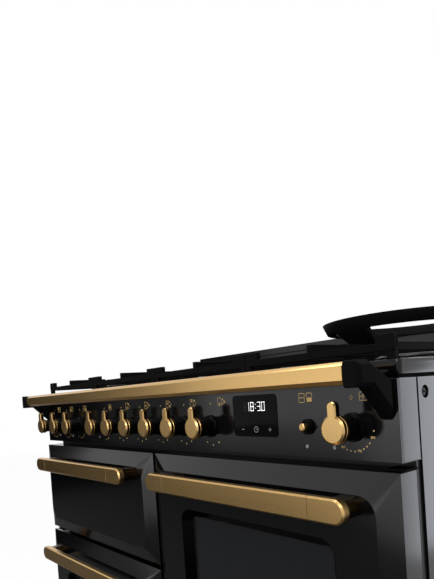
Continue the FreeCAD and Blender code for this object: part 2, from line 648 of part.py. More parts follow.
def knobs():
    for i, x in enumerate(KNOBS):
        start = "knob_float"
        black = fuse(f"knob_body_{i}", [
            rod(f"knob_skirt_{i}", ("0", "0", start), "skirt_r", "skirt_tall"),
            rod(f"knob_stem_{i}", ("0", "0", start), "body_r", "body_tall - knob_float")])
        disc = "knob_reach - cap_start - cap_bevel_tall"
        face = "knob_reach - tab_thick"
        brass = fuse(f"knob_cap_{i}", [
            rod(f"cap_disc_{i}", ("0", "0", "cap_start"), "cap_r", disc),
            cone(f"cap_rim_{i}", ("0", "0", "knob_reach - cap_bevel_tall"), "cap_r", "cap_face",
                 "cap_bevel_tall"),
            box(f"tab_{i}", ("- tab_half", "0", face),
                ("2 * tab_half", "pointer - tab_half", "tab_thick")),
            rod(f"tab_end_{i}", ("0", "pointer - tab_half", face), "tab_half", "tab_thick")])
        item = node(f"knob_{i + 1}", group(f"knob_{i + 1}", [black, brass]))
        item.Placement.Rotation = TURN["front"]
        place(item, (x, FRONT, f"{LOW} + knob_z"))


# Gas valves on their feed pipe and the electric controls beside them
def valves():
    back = "panel_glass + panel_plate"
    parts = []
    for i, x in enumerate(KNOBS):
        start = f"{FRONT} + {back}"
        if 4 <= i <= 8:
            parts.append(rod(f"valve_{i}", (x, start, f"{LOW} + knob_z"), "tap_r",
                             f"pipe_back - pipe_r - ({back})", "y"))
        else:
            parts.append(box(f"switch_{i}",
                             (f"{x} - switch_half", start, f"{LOW} + knob_z - switch_half"),
                             ("2 * switch_half", f"switch_back - ({back})", "2 * switch_half")))
    start = (f"{KNOBS[4]} - pipe_over", f"{FRONT} + pipe_back", f"{LOW} + knob_z")
    parts.append(rod("feed_pipe", start, "pipe_r", f"{KNOBS[8]} - {KNOBS[4]} + 2 * pipe_over", "x"))
    node("valves_and_switches", group("valves_and_switches", parts))


# Lower edge above the floor and height of each door
RIGHT_LOW = "(door_bottom + drawer_tall + cell_gap)"
DOORS = {
    "grill": (f"({LOW} - door_drop - grill_door)", "grill_door"),
    "left": ("door_bottom", f"({LOW} - door_drop - grill_door - cell_gap - door_bottom)"),
    "right": (RIGHT_LOW, f"({LOW} - door_drop - {RIGHT_LOW})"),
    "drawer": ("door_bottom", "drawer_tall"),
}


# Two short pins inside the skin, on the line that the door turns about
def hinge_pins(name, tall):
    pins = []
    if name == "grill":
        y, z = "pin_drop - door_edge", f"pin_drop - {tall}"
        for i, x in enumerate((f"door_skin - {HALF}", f"{HALF} - door_skin - pin_long")):
            pins.append(rod(f"{name}_pin_{i}", (x, y, z), "pin_r", "pin_long", "x"))
        return pins
    x = f"{HALF} - pin_in" if name == "right" else f"pin_in - {HALF}"
    for i, z in enumerate((f"door_skin - {tall}", f"{tall} - door_skin - pin_long")):
        pins.append(rod(f"{name}_pin_{i}", (x, "frame_front - hinge_in", z), "pin_r", "pin_long"))
    return pins


# Pressed skin with a raised field, open at the back, and a window where it has one
def door_skin(name, label, window):
    low, high = DOORS[name]
    tall = f"({high} / 2)"
    solid = node(label, body(label))

    def flat(tag, lift, x, z, r):
        return rounded(sketch(solid, f"{name}_{tag}", "XZ", lift), x, z, r)

    pad(solid, f"{name}_slab", flat("slab", "- door_shell", HALF, tall, "corner_round"),
        "door_shell + door_edge")
    outer = flat("edge", "door_edge", HALF, tall, "corner_round")
    field = flat("field", "door_field", f"{HALF} - door_border", f"{tall} - door_border",
                 "field_round")
    loft(solid, f"{name}_bevel", outer, field)
    hollow = flat("hollow", "- door_shell", f"{HALF} - door_skin", f"{tall} - door_skin",
                  "corner_round")
    pocket = pad(solid, f"{name}_pocket", hollow, "door_shell + door_edge - door_skin",
                 "PartDesign::Pocket")
    pocket.Reversed = True
    border = "door_border + door_skin"
    hollow = flat("dish", "- door_shell", f"{HALF} - {border}", f"{tall} - {border}",
                  "field_round - door_skin")
    pocket = pad(solid, f"{name}_dish_pocket", hollow, "door_shell + door_field - door_skin",
                 "PartDesign::Pocket")
    pocket.Reversed = True
    if window:
        hole = flat("hole", "- door_shell", WINDOW_HALF, f"{tall} - window_in", "window_round")
        pocket = pad(solid, f"{name}_window", hole, "door_shell + 2 * door_field",
                     "PartDesign::Pocket")
        pocket.Reversed = True
    return solid, tall


def put_door(item, name):
    low, high = DOORS[name]
    sign = "-" if name in ("grill", "left") else ""
    middle = f"{sign}(door_gap / 2 + {HALF})"
    place(item, (middle, FRONT, f"{low} + {high} / 2"))
    return item


def door_inside(name, tall):
    x, z = f"{HALF} - shell_in", f"{tall} - shell_in"
    depth = "door_back - door_shell"
    if name == "grill":
        panel = box(f"{name}_panel", (f"-({x})", "door_shell", f"-({z})"),
                    (f"2 * ({x})", depth, f"2 * ({z})"))
        return group(f"{name}_door_liner", [panel] + hinge_pins(name, tall))
    hole_x, hole_z = f"({WINDOW_HALF} - bezel)", f"({tall} - window_in - bezel)"
    bars = []
    for i, sign in enumerate(("-", "")):
        start = f"-({x})" if sign else hole_x
        bars.append(box(f"{name}_bar_{i}", (start, "door_shell", f"-({z})"),
                        (f"{x} - {hole_x}", depth, f"2 * ({z})")))
        start = f"-({z})" if sign else hole_z
        bars.append(box(f"{name}_band_{i}", (f"-{hole_x}", "door_shell", start),
                        (f"2 * {hole_x}", depth, f"{z} - {hole_z}")))
    ring = body(f"{name}_bezel")
    wide, high = f"({WINDOW_HALF} - pane_gap)", f"({tall} - window_in - pane_gap)"
    back = "(door_field - bezel_sink - bezel)"
    shape = rounded(sketch(ring, f"{name}_bezel_outer", "XZ", back), wide, high,
                    "window_round - pane_gap")
    pad(ring, f"{name}_bezel_pad", shape, "bezel")
    small = rounded(sketch(ring, f"{name}_bezel_small", "XZ", back), f"{wide} - bezel + pane_gap",
                    f"{high} - bezel + pane_gap", "window_round - bezel")
    large = rounded(sketch(ring, f"{name}_bezel_large", "XZ", "door_field - bezel_sink"),
                    f"{wide} - corner_round",
                    f"{high} - corner_round", "window_round - corner_round")
    loft(ring, f"{name}_bezel_cut", small, large, "PartDesign::SubtractiveLoft")
    return group(f"{name}_door_liner", bars + [ring] + hinge_pins(name, tall))


def door_glass(name, tall):
    outer = body(f"{name}_outer_pane")
    back = "(door_field - bezel_sink - bezel)"
    shape = rounded(sketch(outer, f"{name}_pane_outline", "XZ", f"{back} - pane"),
                    f"{WINDOW_HALF} - pane_gap",
                    f"{tall} - window_in - pane_gap", "window_round - pane_gap")
    pad(outer, f"{name}_pane_pad", shape, "pane")
    hole_x, hole_z = f"({WINDOW_HALF} - bezel - pane_gap)", f"({tall} - window_in - bezel - pane_gap)"
    inner = box(f"{name}_inner_pane", (f"-{hole_x}", "door_back - pane", f"-{hole_z}"),
                (f"2 * {hole_x}", "pane", f"2 * {hole_z}"))
    return group(f"{name}_door_glass", [outer, inner])


# Flat oval bar on two posts
def handle(name, tall):
    bar = body(f"{name}_grip")
    z = f"{tall} - handle_drop"
    long = f"{HALF} - handle_in"
    shape = rounded(sketch(bar, f"{name}_grip_outline", "XZ", "handle_front - handle_thick"), long,
                    "handle_half", "handle_half - corner_round")
    pad(bar, f"{name}_grip_pad", shape, "handle_thick")
    front = - value("handle_front")
    dress(bar, f"{name}_grip_edge", "PartDesign::Chamfer", "handle_bevel",
          lambda edge: edge.BoundBox.YLength < SAME and abs(edge.BoundBox.YMin - front) < SAME)
    bind(bar, "Placement.Base.z", z)
    posts = []
    for i, sign in enumerate(("-", "")):
        post = body(f"{name}_post_{i}")
        shape = rounded(sketch(post, f"{name}_post_outline_{i}", "XZ", "door_field"),
                        "post_long / 2", "post_half",
                        "post_half - corner_round")
        pad(post, f"{name}_post_pad_{i}", shape, "handle_front - handle_thick - door_field")
        shift = f"{sign}({long} - post_long / 2 - corner_round - handle_bevel)"
        bind(post, "Placement.Base.x", shift)
        bind(post, "Placement.Base.z", z)
        posts.append(post)
    return group(f"{name}_handle_group", [bar] + posts)


def doors():
    for name, label, window in (("grill", "grill_door_skin", False),
                                ("left", "left_door_skin", True),
                                ("right", "right_door_skin", True)):
        skin, tall = door_skin(name, label, window)
        put_door(skin, name)
        put_door(node(f"{name}_door_liner", door_inside(name, tall)), name)
        if window:
            put_door(node(f"{name}_door_glass", door_glass(name, tall)), name)
        put_door(node(f"{name}_door_handle", handle(name, tall)), name)


def drawer():
    skin, tall = door_skin("drawer", "drawer_front", False)
    put_door(skin, "drawer")
    put_door(node("drawer_handle", handle("drawer", tall)), "drawer")
    x, y, z = "cavity_in + bin_in + bin_wall", f"{FRONT} + door_back + bin_wall", "bin_low + bin_wall"
    size = (f"{CAVITY_WIDE} - 2 * bin_in - 2 * bin_wall", "deep - bin_end", "bin_tall")
    tray = tray_of_plates("drawer_bin", (x, y, z), size, "bin_wall", "up")
    plate = box("drawer_back_plate", (f"door_gap / 2 + shell_in", f"{FRONT} + door_shell",
                                      "door_bottom + shell_in"),
                (f"2 * ({HALF} - shell_in)", "door_back - door_shell",
                 "drawer_tall - 2 * shell_in"))
    node("drawer_box", group("drawer_box", [tray, plate]))


# Hinge leaves above and below the side-hung doors and under the drop-down door
def hinges():
    leaves = []
    long = "frame_front - leaf_front"
    for name in ("left", "right", "grill"):
        low, high = DOORS[name]
        xs = ["wide / 2 - leaf_wide"] if name == "right" else ["- wide / 2"]
        zs = [f"{low} + {high} + leaf_gap", f"{low} - leaf_gap - leaf_thick"]
        if name == "grill":
            xs = ["- wide / 2", "- door_gap / 2 - leaf_wide"]
            zs = zs[1:]
        for x in xs:
            for z in zs:
                leaves.append(box(f"leaf_{len(leaves)}", (x, f"{FRONT} + leaf_front", z),
                                  ("leaf_wide", long, "leaf_thick")))
    node("door_hinges", group("door_hinges", leaves))


for build in (side_walls, carcass, front_frame, liners, shelves, control_panel, display,
              push_button, handrail,
              hob, burners, pan_supports, wok_ring, knobs, valves, doors, drawer, hinges):
    build()
doc.recompute()

for item in doc.Objects:
    if {"Invalid", "Error"} & set(item.State):
        raise RuntimeError(f"{item.Label}: {item.State}")
for item in nodes:
    if item.Shape.isNull() or not item.Shape.isValid():
        raise RuntimeError(f"{item.Label}: bad shape")
for item in nodes:
    item.Shape.exportStep(os.path.join("parts", item.Label + ".step"))
    size = item.Shape.BoundBox
    print(item.Label, len(item.Shape.Solids), [round(v, 1) for v in (
        size.XMin, size.XMax, size.YMin, size.YMax, size.ZMin, size.ZMax)])
print(len(nodes), "nodes")
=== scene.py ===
# %% [markdown]
# # A dual fuel range cooker in brass and slate enamel
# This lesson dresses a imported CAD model. The CAD nodes give every piece its true place, so each
# mesh below is built in the same frame, in metres, and then told which body it moves with.

# %% Load the frame
import json
import math

import bmesh
import bpy
from mathutils import Matrix, Vector
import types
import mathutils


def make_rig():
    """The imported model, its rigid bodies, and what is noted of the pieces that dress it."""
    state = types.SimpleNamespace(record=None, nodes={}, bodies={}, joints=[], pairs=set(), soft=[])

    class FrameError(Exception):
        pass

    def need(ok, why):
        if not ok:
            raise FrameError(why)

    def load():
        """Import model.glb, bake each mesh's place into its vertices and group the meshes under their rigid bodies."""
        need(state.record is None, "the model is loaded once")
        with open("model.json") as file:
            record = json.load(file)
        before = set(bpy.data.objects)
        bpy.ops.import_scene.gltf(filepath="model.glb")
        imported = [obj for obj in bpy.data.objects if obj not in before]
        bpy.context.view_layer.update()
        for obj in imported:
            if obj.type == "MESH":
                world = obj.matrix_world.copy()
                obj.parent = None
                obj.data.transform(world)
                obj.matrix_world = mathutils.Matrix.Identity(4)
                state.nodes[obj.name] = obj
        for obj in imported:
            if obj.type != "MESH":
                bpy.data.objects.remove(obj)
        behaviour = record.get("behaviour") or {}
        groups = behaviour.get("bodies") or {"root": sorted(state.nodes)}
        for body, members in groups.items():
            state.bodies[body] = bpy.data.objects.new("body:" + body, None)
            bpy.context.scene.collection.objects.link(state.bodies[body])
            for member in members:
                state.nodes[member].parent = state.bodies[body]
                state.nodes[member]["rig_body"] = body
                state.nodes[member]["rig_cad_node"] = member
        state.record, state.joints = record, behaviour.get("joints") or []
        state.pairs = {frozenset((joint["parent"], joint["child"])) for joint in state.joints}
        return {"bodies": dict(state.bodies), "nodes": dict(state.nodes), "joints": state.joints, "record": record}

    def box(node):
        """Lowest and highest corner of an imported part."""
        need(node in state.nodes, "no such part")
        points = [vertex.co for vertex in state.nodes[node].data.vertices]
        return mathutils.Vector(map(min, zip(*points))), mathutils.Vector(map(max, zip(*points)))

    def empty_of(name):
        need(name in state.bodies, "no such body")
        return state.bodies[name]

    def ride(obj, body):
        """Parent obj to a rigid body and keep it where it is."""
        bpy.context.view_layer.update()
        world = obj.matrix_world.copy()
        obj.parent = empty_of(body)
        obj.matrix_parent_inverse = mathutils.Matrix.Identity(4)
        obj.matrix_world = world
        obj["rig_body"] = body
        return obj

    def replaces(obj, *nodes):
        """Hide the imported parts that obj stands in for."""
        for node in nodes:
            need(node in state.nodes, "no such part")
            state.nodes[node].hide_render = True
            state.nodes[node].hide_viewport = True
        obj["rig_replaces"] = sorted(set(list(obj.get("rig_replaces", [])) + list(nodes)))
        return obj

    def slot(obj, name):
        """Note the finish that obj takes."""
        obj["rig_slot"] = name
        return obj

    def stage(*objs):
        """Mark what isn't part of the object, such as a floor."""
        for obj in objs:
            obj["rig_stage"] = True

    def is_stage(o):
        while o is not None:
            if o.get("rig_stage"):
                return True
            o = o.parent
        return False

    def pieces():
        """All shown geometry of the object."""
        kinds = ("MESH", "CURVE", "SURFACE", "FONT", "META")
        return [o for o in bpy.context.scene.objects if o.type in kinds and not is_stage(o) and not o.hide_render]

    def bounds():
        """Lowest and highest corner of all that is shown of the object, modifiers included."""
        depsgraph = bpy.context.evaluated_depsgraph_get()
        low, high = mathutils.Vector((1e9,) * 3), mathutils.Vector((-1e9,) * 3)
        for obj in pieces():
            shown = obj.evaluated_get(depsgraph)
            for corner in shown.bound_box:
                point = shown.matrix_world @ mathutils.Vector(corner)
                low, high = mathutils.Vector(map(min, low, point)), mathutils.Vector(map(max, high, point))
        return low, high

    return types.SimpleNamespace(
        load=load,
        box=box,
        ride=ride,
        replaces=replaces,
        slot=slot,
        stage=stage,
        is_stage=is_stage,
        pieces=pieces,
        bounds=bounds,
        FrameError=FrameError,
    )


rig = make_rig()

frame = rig.load()
cad_box = [list(corner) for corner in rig.bounds()]
print("CAD box", cad_box)

MM = 0.001
FRONT = -0.260  # the fascia's front plane on Y
PANEL = 0.779  # the fascia's foot on Z
FULL_TURN = 2 * math.pi

# %% [markdown]
# The photograph was taken close to the right front corner, at knob height, and the camera leaned
# by about four degrees. A pin-hole fit to points of known size gave the place, the turn and the
# focal length below. The lens stays on the horizon and the frame is shifted, as on a view camera.

# %% Camera
FRAME_HEIGHT = 579
FOCAL = 528.634
HORIZON = 405
EYE = Vector((897.808, -561.35, 99.755)) * MM + Vector((0, FRONT, PANEL))
TILT, ROLL, YAW = -0.0230, -0.0700, 0.8900


def camera_axes(tilt, roll, yaw):
    turn = Matrix.Rotation(yaw, 3, "Z")
    right, ahead, up = turn @ Vector((1, 0, 0)), turn @ Vector((0, 1, 0)), Vector((0, 0, 1))
    cos, sin = math.cos(tilt), math.sin(tilt)
    ahead, up = ahead * cos + up * sin, up * cos - ahead * sin
    cos, sin = math.cos(roll), math.sin(roll)
    right, up = right * cos + up * sin, up * cos - right * sin
    return Matrix((right, up, -ahead)).transposed()


lens = bpy.data.cameras.new("camera")
lens.sensor_width = 36
lens.lens = FOCAL / FRAME_HEIGHT * lens.sensor_width
lens.shift_y = (HORIZON - FRAME_HEIGHT / 2) / FRAME_HEIGHT
lens.clip_start = 0.01
camera = bpy.data.objects.new("camera", lens)
camera.matrix_world = Matrix.Translation(EYE) @ camera_axes(TILT, ROLL, YAW).to_4x4()
bpy.context.scene.collection.objects.link(camera)
bpy.context.scene.camera = camera
bpy.context.scene.view_settings.view_transform = "Standard"
print("camera at", [round(v, 3) for v in EYE])

# %% [markdown]
# A product picture wants soft, plain light, and every colour below is written as the six letters
# of a screen colour. Blender counts in linear light, so one helper turns the letters into that.
# A second helper adds one shader node with its values and links, which keeps each tree short.

# %% Nodes and colours
TOE, TOE_SLOPE, SHIFT, POWER = 0.04045, 12.92, 0.055, 2.4  # the screen curve of sRGB


def linear(code):
    parts = [int(code[i:i + 2], 16) / 255 for i in (0, 2, 4)]
    return [v / TOE_SLOPE if v <= TOE else ((v + SHIFT) / (1 + SHIFT)) ** POWER for v in parts] + [1]


def add(tree, kind, links=None, **settings):
    item = tree.nodes.new(kind)
    for name, value in settings.items():
        label = name.replace("_", " ")
        if label in item.inputs:
            item.inputs[label].default_value = value
        else:
            setattr(item, name, value)
    for name, output in (links or {}).items():
        tree.links.new(output, item.inputs[name])
    return item


def empty_tree(owner):
    owner.use_nodes = True
    owner.node_tree.nodes.clear()
    return owner.node_tree


def put(name, data):
    item = bpy.data.objects.new(name, data)
    bpy.context.scene.collection.objects.link(item)
    return item


print("a screen's mid grey is", round(linear("808080")[0], 3), "of white light")

# %% [markdown]
# Dark gloss paint has almost no colour of its own: it shows what it mirrors. So the lamps are soft
# panels, placed where the paint looks. The flank panel stands behind the right side and makes it
# read as a lit surface. Three low panels at the front left, one after the other, give the fascia
# its fade from right to left, with the dark mirror images of the knobs between them, and a fourth
# in front lights the bevels of the doors. The world is white where the camera or a shiny surface
# sees it, and a little dimmer as a lamp, so colours render about as they are written.

# %% World and lamps
WORLD_LAMP = 0.55
world = bpy.data.worlds.new("studio")
bpy.context.scene.world = world
tree = empty_tree(world)
path = add(tree, "ShaderNodeLightPath")
direct = add(tree, "ShaderNodeMath", {0: path.outputs["Is Camera Ray"], 1: path.outputs["Is Glossy Ray"]},
             operation="MAXIMUM")
seen = add(tree, "ShaderNodeMath", {0: direct.outputs[0], 1: path.outputs["Is Transmission Ray"]},
           operation="MAXIMUM")
lamp = add(tree, "ShaderNodeBackground", Color=linear("f4f5f8"), Strength=WORLD_LAMP)
white = add(tree, "ShaderNodeBackground", Color=linear("ffffff"), Strength=1.0)
sky = add(tree, "ShaderNodeMixShader", {0: seen.outputs[0], 1: lamp.outputs[0], 2: white.outputs[0]})
add(tree, "ShaderNodeOutputWorld", {"Surface": sky.outputs[0]})


def soft_panel(name, place, target, size, power, colour="ffffff"):
    light = bpy.data.lights.new(name, "AREA")
    light.shape = "RECTANGLE"
    light.size, light.size_y = size
    light.energy = power
    light.color = linear(colour)[:3]
    item = put(name, light)
    item.location = place
    item.rotation_euler = (Vector(target) - Vector(place)).to_track_quat("-Z", "Y").to_euler()


# Name, place, the point that it faces, size, power in watts and, for one, its colour
PANELS = (("key", (1.5, -3.2, 2.6), (0, 0, 0.7), (1.6, 1.6), 50),
          ("flank", (1.17, 1.15, 0.67), (0.42, -0.15, 0.67), (0.46, 0.9), 3.9, "eef4ff"),
          ("front_low", (0.1, -2.5, 0.42), (0.1, 0, 0.42), (2.4, 0.66), 5),
          ("front_near", (-0.9, -2.26, 0.74), (-0.9, 0, 0.74), (0.95, 0.62), 1.3),
          ("front_middle", (-1.85, -2.26, 0.74), (-1.85, 0, 0.74), (0.95, 0.62), 1.0),
          ("front_far", (-4.0, -2.26, 0.74), (-4.0, 0, 0.74), (3.3, 0.62), 1.3),
          ("overhead", (0.2, -0.3, 3.0), (0, 0, 0.9), (1.8, 1.2), 40))
for panel in PANELS:
    soft_panel(*panel)
print(len(PANELS), "soft panels,", sum(panel[4] for panel in PANELS), "W")

# %% [markdown]
# The floor is white paper to the camera and still takes a faint shadow. As a lamp it is mid grey, so that it doesn't
# fill the dark doors with light. To a mirror ray it glows white at the right and behind, where the side wall and the
# brass look, and is grey in front, where the doors look: a painted pool of light for those reflections. A black felt
# flag at the left keeps the far ends of the brass dark.

# %% Floor and flag
SPAN = 9
PAPER_GLOW, GREY_GLOW = 0.95, 0.03
SIDE_FADE, REAR_FADE = (1.2, 2.0), (-0.2, 0.2)
FLAG_X, FLAG_NEAR, FLAG_FAR, FLAG_FOOT, FLAG_TOP = -4, -0.5, -3.4, 0.02, 1.65


def stage_sheet(name, corners, material):
    mesh = bpy.data.meshes.new(name)
    mesh.from_pydata(corners, [], [(0, 1, 2, 3)])
    mesh.materials.append(material)
    return put(name, mesh)


paper = bpy.data.materials.new("studio_paper")
tree = empty_tree(paper)
path = add(tree, "ShaderNodeLightPath")
glow = add(tree, "ShaderNodeEmission", Color=linear("ffffff"), Strength=1.0)
pale = add(tree, "ShaderNodeBsdfDiffuse", Color=linear("ffffff"))
to_camera = add(tree, "ShaderNodeMixShader", {1: pale.outputs[0], 2: glow.outputs[0]})
to_camera.inputs[0].default_value = PAPER_GLOW
matt = add(tree, "ShaderNodeBsdfDiffuse", Color=linear("5a5a5a"))
shiny = add(tree, "ShaderNodeMath", {0: path.outputs["Is Glossy Ray"], 1: path.outputs["Is Transmission Ray"]},
            operation="MAXIMUM")
place = add(tree, "ShaderNodeNewGeometry")
across = add(tree, "ShaderNodeSeparateXYZ", {0: place.outputs["Position"]})
# Painted light for mirror rays: the floor glows white past x = 1.2 m and behind the cooker
lit_side = add(tree, "ShaderNodeMapRange", {"Value": across.outputs[0]}, From_Min=SIDE_FADE[0],
               From_Max=SIDE_FADE[1], To_Min=GREY_GLOW, To_Max=1.0)
lit_rear = add(tree, "ShaderNodeMapRange", {"Value": across.outputs[1]}, From_Min=REAR_FADE[0],
               From_Max=REAR_FADE[1], To_Min=0.0, To_Max=1.0)
lit = add(tree, "ShaderNodeMath", {0: lit_side.outputs[0], 1: lit_rear.outputs[0]}, operation="MAXIMUM")
share = add(tree, "ShaderNodeMath", {0: shiny.outputs[0], 1: lit.outputs[0]}, operation="MULTIPLY")
to_metal = add(tree, "ShaderNodeMixShader", {0: share.outputs[0], 1: matt.outputs[0], 2: glow.outputs[0]})
both = add(tree, "ShaderNodeMixShader", {0: path.outputs["Is Camera Ray"], 1: to_metal.outputs[0],
                                         2: to_camera.outputs[0]})
add(tree, "ShaderNodeOutputMaterial", {"Surface": both.outputs[0]})
floor = stage_sheet("floor", [(-SPAN, -SPAN, 0), (SPAN, -SPAN, 0), (SPAN, SPAN, 0), (-SPAN, SPAN, 0)], paper)
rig.stage(floor)

felt = bpy.data.materials.new("black_felt")
tree = empty_tree(felt)
nap = add(tree, "ShaderNodeBsdfDiffuse", Color=linear("0c0c0c"))
add(tree, "ShaderNodeOutputMaterial", {"Surface": nap.outputs[0]})
flag = stage_sheet("flag", [(FLAG_X, FLAG_NEAR, FLAG_FOOT), (FLAG_X, FLAG_FAR, FLAG_FOOT),
                            (FLAG_X, FLAG_FAR, FLAG_TOP), (FLAG_X, FLAG_NEAR, FLAG_TOP)], felt)
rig.stage(flag)
print("floor", 2 * SPAN, "m wide, flag", FLAG_TOP - FLAG_FOOT, "m tall")

# %% [markdown]
# Each finish starts from the real one. The body is pressed steel with baked enamel paint: a smooth
# dielectric film whose faint orange peel, a few millimetres from dimple to dimple, softens what it
# mirrors. Brass is a metal, so its colour is in its reflection; it was brushed lengthwise and
# lacquered. The cast iron is sand cast and matt enamelled, with grains of about half a millimetre.

# %% Material helper
def finish(name, colour, roughness, metallic=0.0, **settings):
    item = bpy.data.materials.new(name)
    item.use_nodes = True
    shader = item.node_tree.nodes["Principled BSDF"]
    shader.inputs["Base Color"].default_value = linear(colour)
    shader.inputs["Roughness"].default_value = roughness
    shader.inputs["Metallic"].default_value = metallic
    for key, value in settings.items():
        shader.inputs[key.replace("_", " ")].default_value = value
    return item, item.node_tree, shader


def place_in(tree, stretch=(1, 1, 1)):
    where = add(tree, "ShaderNodeTexCoord")
    return add(tree, "ShaderNodeMapping", {"Vector": where.outputs["Object"]}, Scale=stretch)


# Colour, roughness and height all follow one noise whose grain is given in millimetres
def grain(tree, shader, size_mm, tones=None, rough=None, depth_mm=0.0, stretch=(1, 1, 1), detail=4):
    spot = place_in(tree, stretch)
    noise = add(tree, "ShaderNodeTexNoise", {"Vector": spot.outputs[0]}, Scale=1 / (size_mm * MM),
                Detail=detail)
    if tones:
        ramp = add(tree, "ShaderNodeMix", {"Factor": noise.outputs["Fac"]}, data_type="RGBA")
        ramp.inputs[6].default_value, ramp.inputs[7].default_value = map(linear, tones)
        tree.links.new(ramp.outputs[2], shader.inputs["Base Color"])
    if rough:
        span = add(tree, "ShaderNodeMapRange", {"Value": noise.outputs["Fac"]}, To_Min=rough[0],
                   To_Max=rough[1])
        tree.links.new(span.outputs[0], shader.inputs["Roughness"])
    if depth_mm:
        bump = add(tree, "ShaderNodeBump", {"Height": noise.outputs["Fac"]}, Strength=1.0,
                   Distance=depth_mm * MM)
        tree.links.new(bump.outputs[0], shader.inputs["Normal"])


def coated(name, colour, roughness, metallic, grained, **settings):
    item, tree, shader = finish(name, colour, roughness, metallic, **settings)
    grain(tree, shader, *grained)
    return item


print("a finish is one shader and one noise")

# %% [markdown]
# One line makes one finish: its name, colour, roughness and how metallic it is, then its grain as
# size in millimetres, two tones, the range of roughness and the depth of the bumps. Paint, glass
# and enamel start from an index of 1.5, and most were then lowered to match the photograph, where
# these surfaces mirror little. Metals keep their index.

# %% Body finishes
# Stoved enamel paint on pressed steel: soft mirror images, broken by orange peel 6 mm apart
slate = coated("slate_enamel_paint", "08090a", 0.16, 0.0,
               (6, ("07080a", "090a0c"), (0.14, 0.18), 0.004), IOR=1.45)
# Toughened glass, printed black behind: deeper and flatter than the paint beside it
panel_black = coated("fascia_glass_black", "0c0c0e", 0.14, 0.0,
                     (14, ("0b0b0d", "0d0d0f"), (0.12, 0.16), 0.001), IOR=1.38)
# Vitreous enamel, fired on steel: a hard wet gloss with slow waves
enamel = coated("vitreous_black_enamel", "070708", 0.12, 0.0,
                (8, ("060607", "09090a"), (0.10, 0.18), 0.01), IOR=1.33)
# Powder coat on a casting: a soft grey sheen along the edges and no mirror image
satin = coated("satin_black_casting", "131212", 0.5, 0.0,
               (0.9, ("111010", "151414"), (0.44, 0.54), 0.01), IOR=1.05)
# Phenolic from a polished mould: a dark body with soft lights
moulded = coated("moulded_black_phenolic", "030303", 0.4, 0.0,
                 (1.5, ("020202", "040404"), (0.35, 0.45), 0.008), IOR=1.15)
# Sand-cast iron, matt enamelled: rough grains, drawn 1.8 mm wide so that they show
iron = coated("matt_enamelled_cast_iron", "060606", 0.55, 0.0,
              (1.8, ("040404", "1a1a1a"), (0.48, 0.65), 0.08, (1, 1, 1), 6), IOR=1.08)
# Oven enamel with pale flecks: grey from afar, lively from close by
speckled = coated("speckled_oven_enamel", "26272b", 0.25, 0.0,
                  (1.1, ("15161a", "4a4c52"), (0.2, 0.32), 0.01))
# Hot-dip galvanised sheet: cool grey metal with zinc crystals about 12 mm across
zinc = coated("galvanised_steel", "8f9295", 0.42, 1.0, (12, ("7d8083", "a2a5a8"), (0.34, 0.5)))
# Bright nickel-plated wire: thin clean lines of light
chrome = coated("plated_wire", "d5d6d8", 0.12, 1.0, (3, None, (0.1, 0.2)))
# Die-cast aluminium, as it leaves the mould: pale matt metal
alloy = coated("die_cast_burner_alloy", "9a9a98", 0.45, 1.0,
               (0.8, ("858583", "a8a8a6"), (0.4, 0.55), 0.03))
# Phosphated and oiled steel: nearly black, with a dull glint
steel_black = coated("black_phosphated_steel", "101011", 0.35, 0.6,
                     (0.7, ("0d0d0e", "18181a"), (0.3, 0.45), 0.02))
# Gloss-painted trim round the windows: black, with a sharp edge of light
gloss = coated("gloss_black_trim", "020203", 0.08, 0.0,
               (10, ("020202", "030304"), (0.06, 0.12)), IOR=1.12)
print(len(bpy.data.materials), "materials so far")

# %% [markdown]
# The glass of the oven windows lets light through and is smoked. The clock's glass is all but
# black. Its digits give their own light, and the gold marks are a fired enamel, so not metal.

# %% Glass, digits and print
# Toughened glass with a smoked tint: the oven inside is a dim shape
smoked = coated("smoked_oven_glass", "4b4e52", 0.02, 0.0, (60, ("474a4e", "4f5256")),
                Transmission_Weight=0.85, IOR=1.5)
# Black display glass: a flat field that lets only the figures through
clock_black = coated("clock_glass", "010101", 0.04, 0.0, (20, ("010101", "020202"), (0.03, 0.06)), IOR=1.12)
# Moulded acrylic lens of an unlit lamp: a pale milky dot
lens_clear = coated("neon_lens", "9b9ba0", 0.2, 0.0, (1.5, ("8d8d92", "a8a8ad"), (0.15, 0.3)),
                    Transmission_Weight=0.3)
# Lit segments of the display: white and even
digits = coated("lit_digits", "ffffff", 0.4, 0.0, (4, ("f4f6fa", "ffffff")),
                Emission_Strength=1.0, Emission_Color=linear("ffffff"))
# Segments that are not lit: a brown just off black
ghost = coated("unlit_digits", "1b1614", 0.5, 0.0, (4, ("181412", "1e1917")))
# Screen-printed grey ink: flat and matt
touch_grey = coated("printed_touch_marks", "a9a9ab", 0.5, 0.0, (2, ("a0a0a2", "b2b2b4")))
# Fired gold enamel: paler than the brass and without its glint
print_gold = coated("screen_printed_gold", "f2cc80", 0.5, 0.0, (1.0, ("eec67a", "f6d288"), (0.45, 0.55)))
print(len(bpy.data.materials), "materials so far")

# %% [markdown]
# The brass is brushed. Brushing runs along X on the long bars: the noise is long in X and 0.9 mm across, coarser than
# the real scratches. The edges of the knobs and the handles' posts look away from the light, so they get a darker
# brown brass of their own, which is painted shade.

# %% Brass
def brass(name, colour, tones, stretch):
    return coated(name, colour, 0.28, 1.0, (0.9, tones, (0.26, 0.30), 0.0, stretch, 3))


# Bars, brushed lengthwise: one long streak of light that runs with the bar
brass_long = brass("brushed_brass_lengthwise", "c9a56c", ("c7a36a", "cba76e"), (0.006, 1, 1))
# Knob faces, brushed across: an even warm sheen
brass_cap = brass("brushed_brass_knob", "c3a069", ("c29f68", "c4a16a"), (0.1, 1, 1))
# Turned edges and post sides in a brown brass, painted shade, so each face has a dark outline
brass_painted_shade = brass("brass_painted_shade_edge", "4a3820", ("463420", "4e3c22"), (1, 0.1, 1))
print(len(bpy.data.materials), "materials")

